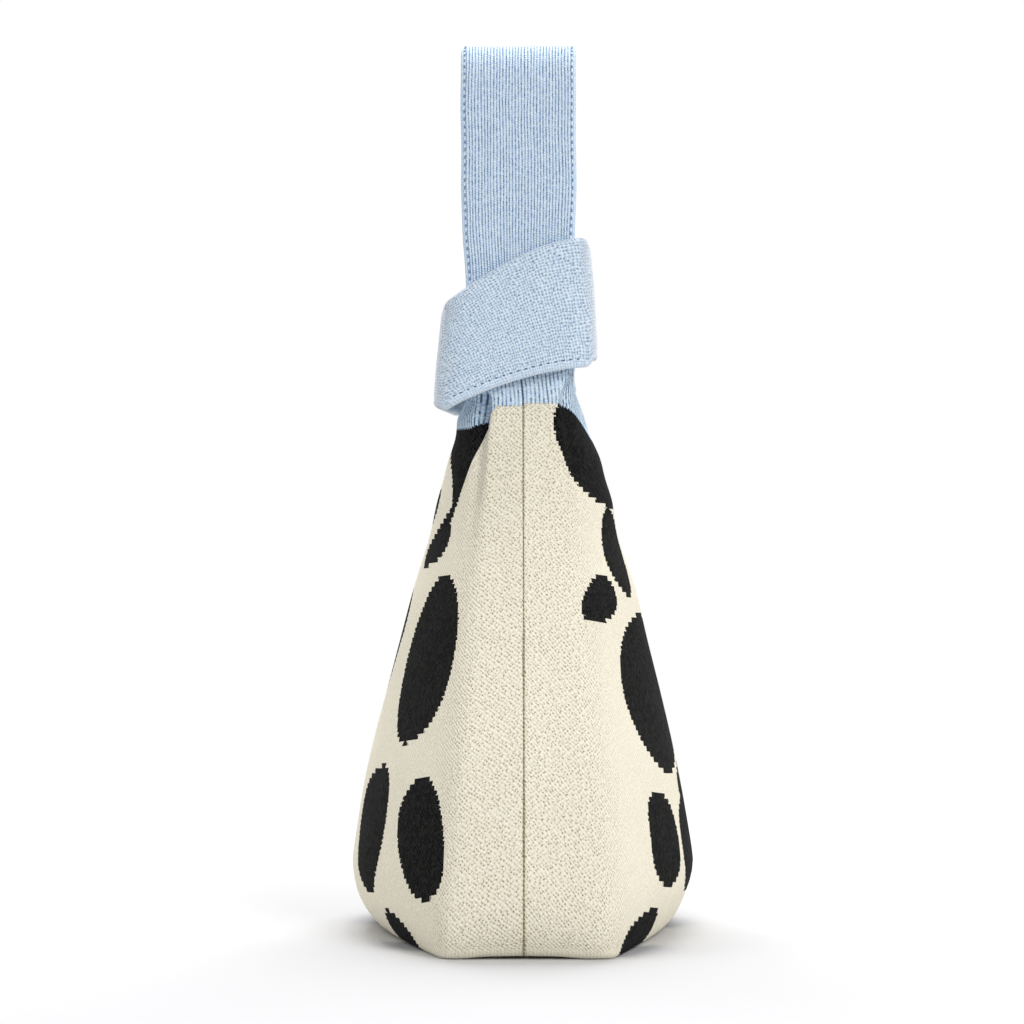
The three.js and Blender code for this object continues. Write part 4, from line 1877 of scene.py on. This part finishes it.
    def build(self) -> None:
        """Make the pieces of the body and seat them on the frame."""
        for side in Side:
            name = side.name.lower()
            seat(self._panel(side), f"{name}_panel")
            seat(self._yoke(side), f"{name}_yoke")
            seat(self._hem(side), f"{name}_mouth_hem")
        for end in End:
            name = end.name.lower()
            seat(self._end_seam(end), f"{name}_side_seam")
            seat(self._corner_seam(end), f"{name}_corner_seam")
        seat(self._base_seam(), "base_seam")


def seat(piece: bpy.types.Object, node: str) -> None:
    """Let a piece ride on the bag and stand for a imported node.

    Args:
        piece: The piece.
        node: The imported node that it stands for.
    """
    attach(piece, "bag")
    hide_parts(node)


@dataclass(frozen=True)
class Passage:
    """Where a strap turns smoothly from the bag into a moving body, in millimetres."""

    body: str
    start: Place
    end: Place

    def seat(self, piece: bpy.types.Object, slot: str, *nodes: str) -> None:
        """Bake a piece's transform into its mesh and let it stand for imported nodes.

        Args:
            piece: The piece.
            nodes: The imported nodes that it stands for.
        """
        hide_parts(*nodes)
        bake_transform(piece)


@dataclass
class LongHandle:
    """The wrist loop: one flat strap up from the near end, over the top fold and back down."""

    knit: bpy.types.Material
    thread: bpy.types.Material
    row: StitchRow = StitchRow(pitch=2.95, length=1.45, radius=0.28, margin=1.5)
    crown: float = 0.2
    columns: int = 30
    step: float = 2.0
    arch_points: int = 25
    leg_points: int = 30
    near_root_drop: float = 0.2
    far_root_lift: float = 0.5
    edge_wave: float = 0.14
    left_waves: tuple[Wave, Wave] = (Wave(9.0, math.inf), Wave(4.1, math.inf, 1.0))
    right_waves: tuple[Wave, Wave] = (Wave(10.5, math.inf, 2.0), Wave(4.7, math.inf))
    taper_left: float = 1.9
    taper_right: float = 1.1
    taper_fade: Way = Way(248.0, 290.0)

    def __post_init__(self) -> None:
        """Take the strap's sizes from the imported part."""
        leg_low, leg_high = box_mm("long_handle_near_leg")
        far_low, _ = box_mm("long_handle_far_leg")
        loop_low, loop_high = box_mm("long_handle_loop")
        self.thickness = leg_high[1] - leg_low[1]
        self.left, self.right = leg_low[0], leg_high[0]
        self.near_y = (leg_low[1] + leg_high[1]) / 2.0
        self.far_y = loop_high[1] - self.thickness / 2.0
        self.bottom = leg_low[2] - self.near_root_drop
        self.bend_low = leg_high[2]
        self.far_root_z = far_low[2] + self.far_root_lift
        self.far_root_y = far_low[1] + self.thickness / 2.0
        self.arch_radius = (self.far_y - self.near_y) / 2.0
        self.arch_y = (self.far_y + self.near_y) / 2.0
        self.arch_z = loop_high[2] - self.thickness / 2.0 - self.arch_radius
        start, end = ((0.0, self.arch_y, z) for z in (self.bend_low, loop_low[2]))
        self.passage = Passage("handle_loop", start, end)

    def _path(self) -> np.ndarray:
        """The strap's middle in the plane of Y and Z.

        Returns:
            Its points from the near root to the far one.
        """
        rise = np.arange(self.bottom, self.arch_z, self.step)
        near = np.stack([np.full(len(rise), self.near_y), rise], 1)
        angle = math.pi * (1.0 - np.linspace(0.0, 1.0, self.arch_points))
        around = np.stack([np.cos(angle), np.sin(angle)], 1)
        arch = np.array([self.arch_y, self.arch_z]) + self.arch_radius * around
        drop = np.arange(self.arch_z - self.step, self.bend_low, -self.step)
        straight = np.stack([np.full(len(drop), self.far_y), drop], 1)
        share = np.linspace(1.0, 0.0, self.leg_points)
        swing = self.far_root_y + (self.far_y - self.far_root_y) * smoothstep(0.0, 1.0, share)
        leg = np.stack([swing, self.far_root_z + (self.bend_low - self.far_root_z) * share], 1)
        return np.concatenate([near, arch, straight, leg])

    def _edge(self, path: np.ndarray, x: float, taper: float, waves: tuple[Wave, Wave]) -> np.ndarray:
        """One edge of the strap.

        Args:
            path: The strap's middle.
            x: The edge's place across.
            taper: How far it is drawn across where the band is tight.
            waves: Its unevenness.

        Returns:
            Points of the edge.
        """
        run = path_run(path)
        uneven = self.edge_wave * (waves[0].at(run, 0.0) + 0.5 * waves[1].at(run, 0.0))
        tight = 1.0 - self.taper_fade.share(path[:, 1])
        return np.stack([x + uneven + taper * tight, path[:, 0], path[:, 1]], 1)

    def stations(self) -> Stations:
        """The strap's edges and facing along the whole handle.

        Returns:
            The stations.
        """
        path = self._path()
        low = self._edge(path, self.left, self.taper_left, self.left_waves)
        high = self._edge(path, self.right, -self.taper_right, self.right_waves)
        travel = unit(np.gradient(path, axis=0))
        facing = np.stack([np.zeros(len(path)), -travel[:, 1], travel[:, 0]], 1)
        return Stations(low, high, facing)

    def build(self) -> None:
        """Make the strap and its edge stitching and seat them on the frame."""
        stations = self.stations()
        margins = tuple((edge, self.row.margin) for edge in Edge)
        section = RibbonSection(self.thickness, self.crown, self.columns, margins)
        strap = ribbon(stations, section).piece("long_handle_strap", self.knit)
        names = ("near_leg", "far_leg", "near_bend", "far_bend", "loop")
        self.passage.seat(strap, "blue_knit", *[f"long_handle_{name}" for name in names])
        for edge, name in ((Edge.LOW, "left"), (Edge.HIGH, "right")):
            line = stations.line(edge, self.row.margin, self.thickness / 2.0 - self.row.sink)
            skin = self.row.sew(line, stations.facing)
            piece = skin.piece(f"long_handle_{name}_stitching", self.thread)
            nodes = [f"long_handle_{part}_{name}_stitching" for part in ("leg", "loop")]
            self.passage.seat(piece, "edge_thread", *nodes)


@dataclass
class ShortHandle:
    """The short handle: from the far end, round the front of the long one as a slanted band, and back."""

    form: BodyForm
    knit: bpy.types.Material
    thread: bpy.types.Material
    row: StitchRow = StitchRow(pitch=2.95, length=1.35, radius=0.3, margin=3.2)
    thickness: float = 4.2
    crown: float = 0.3
    columns: int = 28
    power: float = 6.0
    lean: float = 4.5
    back: float = 4.0
    shift: float = -1.1
    overhang: float = 1.25
    narrowing: float = 3.5
    low_left: float = 205.1
    low_rise: float = 17.0
    low_bow: float = 15.0
    low_bow_middle: float = 0.55
    low_corners: tuple[float, float] = (3.2, 3.4)
    low_corner_ways: tuple[Way, Way] = (Way(0.88, 1.0), Way(0.9, 1.0))
    top_left: float = 243.7
    top_rise: float = 26.5
    top_bow: float = 17.2
    top_droop: float = 0.8
    top_droop_power: int = 6
    top_corners: tuple[float, float] = (2.6, 2.2)
    top_corner_ways: tuple[Way, Way] = (Way(0.93, 1.0), Way(0.95, 1.0))
    angle_points: int = 181
    band_points: int = 90
    root_low: float = 200.0
    root_height: float = 38.0
    root_y: float = 21.4
    root_gap: float = 0.3
    root_rise: float = 1.5
    back_root_drop: float = 10.5
    seam_rise: float = 4.0
    seam_climb_start: float = 0.1
    seam_gap: float = 0.6
    far_half_width: float = 11.0
    far_y: float = 30.4
    far_lean: float = 2.8
    leg_points: int = 12
    corner_points: int = 10
    tail_points: int = 6
    shown_facing: float = -0.75

    def __post_init__(self) -> None:
        """Take the band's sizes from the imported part."""
        low, high = box_mm("short_handle_bight")
        self.centre = (low[0] + high[0]) / 2.0 + self.shift
        self.reach = (high[0] - low[0] - self.thickness) / 2.0 + self.overhang
        self.front = self.back - low[1] - self.thickness / 2.0 - self.lean
        self.root_x = self.form.neck_width / 2.0 + self.root_gap + self.thickness / 2.0
        start, end = ((0.0, y, self.root_low) for y in (self.root_y, self.back))
        self.passage = Passage("short_loop", start, end)

    @staticmethod
    def _corners(wide: np.ndarray, sizes: tuple[float, float], ways: tuple[Way, Way]) -> np.ndarray:
        """How far the corners are cut back, at places from 1 at the left end to -1 at the right."""
        return sizes[0] * ways[0].share(wide) + sizes[1] * ways[1].share(-wide)

    def _band(self, angle: np.ndarray, share: float, corner: float = 1.0) -> np.ndarray:
        """Points of one edge of the band. Angle 0 is its left end, half a turn its right end.

        Args:
            angle: Angles round the path.
            share: 0 for the lower edge, 1 for the upper.
            corner: How much the lower corners are rounded, from 0 to 1.

        Returns:
            Points.
        """
        round_off = 2.0 / self.power
        cos = np.cos(angle)
        wide = np.sign(cos) * np.abs(cos) ** round_off
        right = (1.0 - wide) / 2.0
        low = self.low_left + self.low_rise * right - self.low_bow * (right - self.low_bow_middle) ** 2
        low += corner * self._corners(wide, self.low_corners, self.low_corner_ways)
        high = self.top_left + self.top_rise * right + self.top_bow * right * (1.0 - right)
        high -= self._corners(wide, self.top_corners, self.top_corner_ways)
        high -= self.top_droop * right ** self.top_droop_power
        x = self.centre - (self.reach - self.narrowing * share) * wide
        depth = self.front + self.lean * (1.0 - share)
        y = self.back - depth * np.clip(np.sin(angle), 0.0, 1.0) ** round_off
        return np.stack([x, y, low + (high - low) * share], 1)

    def _leg(self, side: Side, share: float) -> np.ndarray:
        """One edge of a leg, from the band's end along the neck and round its far corner to the far seam.

        Args:
            side: Which leg.
            share: 0 for the lower edge, 1 for the upper.

        Returns:
            Points.
        """
        start = self._band(np.array([0.0 if side is Side.FRONT else math.pi]), share)[0]
        root_z = start[2] + self.root_rise - self.back_root_drop * share
        if side is Side.FRONT:
            root_z = self.root_low + self.root_rise + share * (self.root_height - self.root_rise)
        root = np.array([self.form.neck_lean + side.value * self.root_x, self.root_y, root_z])
        way = np.linspace(0.0, 1.0, self.leg_points)[1:]
        eased = smoothstep(0.0, 1.0, way)
        run = start + (root - start) * np.stack([eased, way, eased], 1)
        turn = np.linspace(0.0, math.pi / 2.0, self.corner_points)[1:]
        corner_x = self.form.neck_lean + side.value * self.far_half_width
        end_y = self.far_y - self.far_lean * share
        corner_across = corner_x + (root[0] - corner_x) * np.cos(turn)
        corner_along = self.root_y + (end_y - self.root_y) * np.sin(turn)
        tail = np.linspace(corner_x, side.value * self.seam_gap, self.tail_points)[1:]
        across = np.concatenate([corner_across, tail])
        along = np.concatenate([corner_along, np.full(len(tail), end_y)])
        seam_z = self.root_low + self.seam_rise + share * (self.root_height - self.seam_rise)
        climb = smoothstep(0.0, 1.0, np.linspace(self.seam_climb_start, 1.0, len(across)))
        up = root_z + (seam_z - root_z) * climb
        return np.concatenate([run, np.stack([across, along, up], 1)])

    def stations(self, corner: float = 1.0) -> Stations:
        """The handle's edges and facing from one end at the far seam to the other.

        Args:
            corner: How much the band's lower corners are rounded, from 0 to 1.

        Returns:
            The stations.
        """
        angle = math.pi * np.linspace(0.0, 1.0, self.angle_points)
        band = [self._band(angle, share, corner) for share in (0.0, 1.0)]
        run = path_run((band[0] + band[1]) / 2.0)
        even = np.linspace(0.0, run[-1], self.band_points)
        edges = []
        for share, edge in zip((0.0, 1.0), band):
            front, back = (self._leg(side, share) for side in Side)
            edges.append(np.concatenate([front[::-1], sampled(even, run, edge), back]))
        low, high = edges
        travel = np.gradient((low + high) / 2.0, axis=0)
        return Stations(low, high, unit(np.cross(travel, high - low)))

    def build(self) -> None:
        """Make the strap and its edge stitching and seat them on the frame."""
        margins = ((Edge.LOW, self.row.margin),)
        section = RibbonSection(self.thickness, self.crown, self.columns, margins)
        strap = ribbon(self.stations(), section).piece("short_handle_strap", self.knit)
        names = ("bight", "front_leg", "back_leg")
        self.passage.seat(strap, "blue_knit", *[f"short_handle_{name}" for name in names])
        plain = self.stations(corner=0.0)
        line = plain.line(Edge.LOW, self.row.margin, self.thickness / 2.0 - self.row.sink)
        shown = plain.facing[:, 1] < self.shown_facing
        skin = self.row.sew(line[shown], plain.facing[shown])
        piece = skin.piece("short_handle_edge_stitching", self.thread)
        self.passage.seat(piece, "edge_thread", "short_handle_stitching")


@dataclass(frozen=True)
class Lamp:
    """A large soft lamp that looks at the bag, in metres and watts."""

    name: str
    place: Place
    size: float
    power: float
    aim: Place = (0.0, 0.0, 0.15)

    def build(self) -> None:
        """Make the lamp."""
        data = bpy.data.lights.new(self.name, "AREA")
        data.shape = "SQUARE"
        data.size = self.size
        data.energy = self.power
        lamp = bpy.data.objects.new(self.name, data)
        lamp.location = self.place
        look = Vector(self.aim) - Vector(self.place)
        lamp.rotation_euler = look.to_track_quat("-Z", "Y").to_euler()
        bpy.context.scene.collection.objects.link(lamp)


@dataclass(frozen=True)
class Studio:
    """Pale floor and background, soft light and the camera, in metres."""

    camera_place: Place = (-0.0043, -1.4, 0.163)
    lens: float = 125.0
    sensor: float = 36.0
    sight: float = 50.0
    room_light: float = 0.44
    floor_size: float = 6.0
    floor_drop: float = 0.0002
    floor_colour: Colour = (0.67, 0.67, 0.68, 1.0)
    floor_fade: tuple[float, float] = (0.25, 0.75)
    lamps: tuple[Lamp, ...] = (
        Lamp("front", (0.95, -1.65, 1.1), 0.8, 19.5),
        Lamp("key", (1.3, -0.4, 1.0), 1.4, 1.2),
        Lamp("fill", (-1.0, -0.6, 1.4), 1.0, 3.8),
        Lamp("top", (0.0, 0.8, 1.6), 1.4, 37.0),
    )

    def build(self) -> None:
        """Make the stage, the lamps and the camera."""
        self._camera()
        self._world()
        self._floor()
        for lamp in self.lamps:
            lamp.build()
        bpy.context.scene.view_settings.view_transform = "Standard"

    def _camera(self) -> None:
        """A level camera that looks along the bag's length."""
        data = bpy.data.cameras.new("camera")
        data.lens = self.lens
        data.sensor_width = self.sensor
        data.clip_end = self.sight
        camera = bpy.data.objects.new("camera", data)
        camera.location = self.camera_place
        camera.rotation_euler = (math.pi / 2.0, 0.0, 0.0)
        bpy.context.scene.collection.objects.link(camera)
        bpy.context.scene.camera = camera

    def _world(self) -> None:
        """Even white surroundings: full white to the camera, softer as light."""
        bench = Bench(bpy.data.worlds.new("white_room"))
        bpy.context.scene.world = bench.owner
        path = bench.node("ShaderNodeLightPath", {}, {})
        kinds = ("Is Camera Ray", "Is Glossy Ray", "Is Transmission Ray")
        camera, glossy, through = (Wire(bench, path.outputs[kind]) for kind in kinds)
        strength = self.room_light + (1.0 - self.room_light) * (camera + glossy + through).least(1.0)
        sockets = {"Color": (1.0, 1.0, 1.0, 1.0), "Strength": strength}
        white = bench.node("ShaderNodeBackground", {}, sockets)
        bench.node("ShaderNodeOutputWorld", {}, {0: white.outputs[0]})

    def _floor(self) -> None:
        """A white floor that keeps the bag's shadow and fades into the white room."""
        half = self.floor_size / 2.0
        corners = [(-half, -half, 0.0), (half, -half, 0.0), (half, half, 0.0), (-half, half, 0.0)]
        mesh = bpy.data.meshes.new("floor")
        mesh.from_pydata(corners, [], [(0, 1, 2, 3)])
        floor = bpy.data.objects.new("floor", mesh)
        floor.location.z = -self.floor_drop
        bpy.context.scene.collection.objects.link(floor)
        bench = Bench.of_material("white_floor")
        place = bench.node("ShaderNodeSeparateXYZ", {}, {0: bench.object_place()})
        x, y = Wire(bench, place.outputs[0]), Wire(bench, place.outputs[1])
        away = (x * x + y * y) ** 0.5
        matt = bench.node("ShaderNodeBsdfDiffuse", {}, {"Color": self.floor_colour})
        clear = bench.node("ShaderNodeBsdfTransparent", {}, {})
        shares = {0: away.eased(*self.floor_fade), 1: matt.outputs[0], 2: clear.outputs[0]}
        fade = bench.node("ShaderNodeMixShader", {}, shares)
        bench.node("ShaderNodeOutputMaterial", {}, {0: fade.outputs[0]})
        mesh.materials.append(bench.owner)


def blue_finishes() -> tuple[BlueKnit, BlueKnit, BlueKnit]:
    """The three blue knits.

    Returns:
        Those of the neck, the long handle and the short handle.
    """
    wales = Knit(Stitch.WALES, 1.6, 1.5, 0.3, drift=0.5, sway_across=0.3, sway_up=0.1, bead=0.4)
    neck = BlueKnit(
        "blue_neck_knit", wales,
        crest=srgb(242, 254, 255), middle=srgb(202, 226, 250), pit=srgb(82, 108, 146),
    )
    ribs = Knit(
        Stitch.WALES, 1.17, 1.0, 0.3, drift=0.5,
        sway_across=0.25, sway_up=0.05, bead=0.35, least_pit=0.3,
    )
    strap = BlueKnit(
        "blue_strap_knit", ribs,
        crest=srgb(242, 254, 255), middle=srgb(194, 219, 249), pit=srgb(96, 126, 168),
    )
    purl = Knit(Stitch.PURL, 1.08, 1.15, 0.22, drift=0.9, jitter=0.75, least_pit=0.3, swell=0.22)
    band = BlueKnit(
        "blue_band_knit", purl,
        crest=srgb(229, 242, 251), middle=srgb(170, 193, 222), pit=srgb(84, 106, 138),
        lift=1.05, patchy=0.25, fleck=0.7, sheen=0.9,
    )
    return neck, strap, band


def main() -> None:
    """Build the studio and the bag, in order."""
    logging.basicConfig(level=logging.INFO, format="%(name)s %(message)s")
    Studio().build()
    form = BodyForm.from_frame()
    neck, strap, band = blue_finishes()
    cow = CowKnit(neck).material()
    neck_blue, strap_blue, band_blue = (finish.material() for finish in (neck, strap, band))
    # The seam yarn's light and dark colours below the colour line, then above it; each dark is painted shade
    # of the twist.
    seam_yarn = Thread(
        "seam_yarn", srgb(214, 204, 166), srgb(104, 90, 50), srgb(118, 140, 168), srgb(40, 58, 86),
        change_height=form.line_height, ply=1.75,
    ).material()
    # A light and a dark colour for each thread; the dark is painted shade of the twist.
    pale = (srgb(156, 176, 204), srgb(112, 134, 166))
    deep = (srgb(96, 116, 150), srgb(54, 72, 104))
    strap_thread = Thread("blue_strap_thread", *pale, *pale).material()
    band_thread = Thread("blue_band_thread", *deep, *deep).material()
    Body(form, cow, neck_blue, seam_yarn).build()
    LongHandle(strap_blue, strap_thread).build()
    ShortHandle(form, band_blue, band_thread).build()


if __name__ == "__main__":
    main()
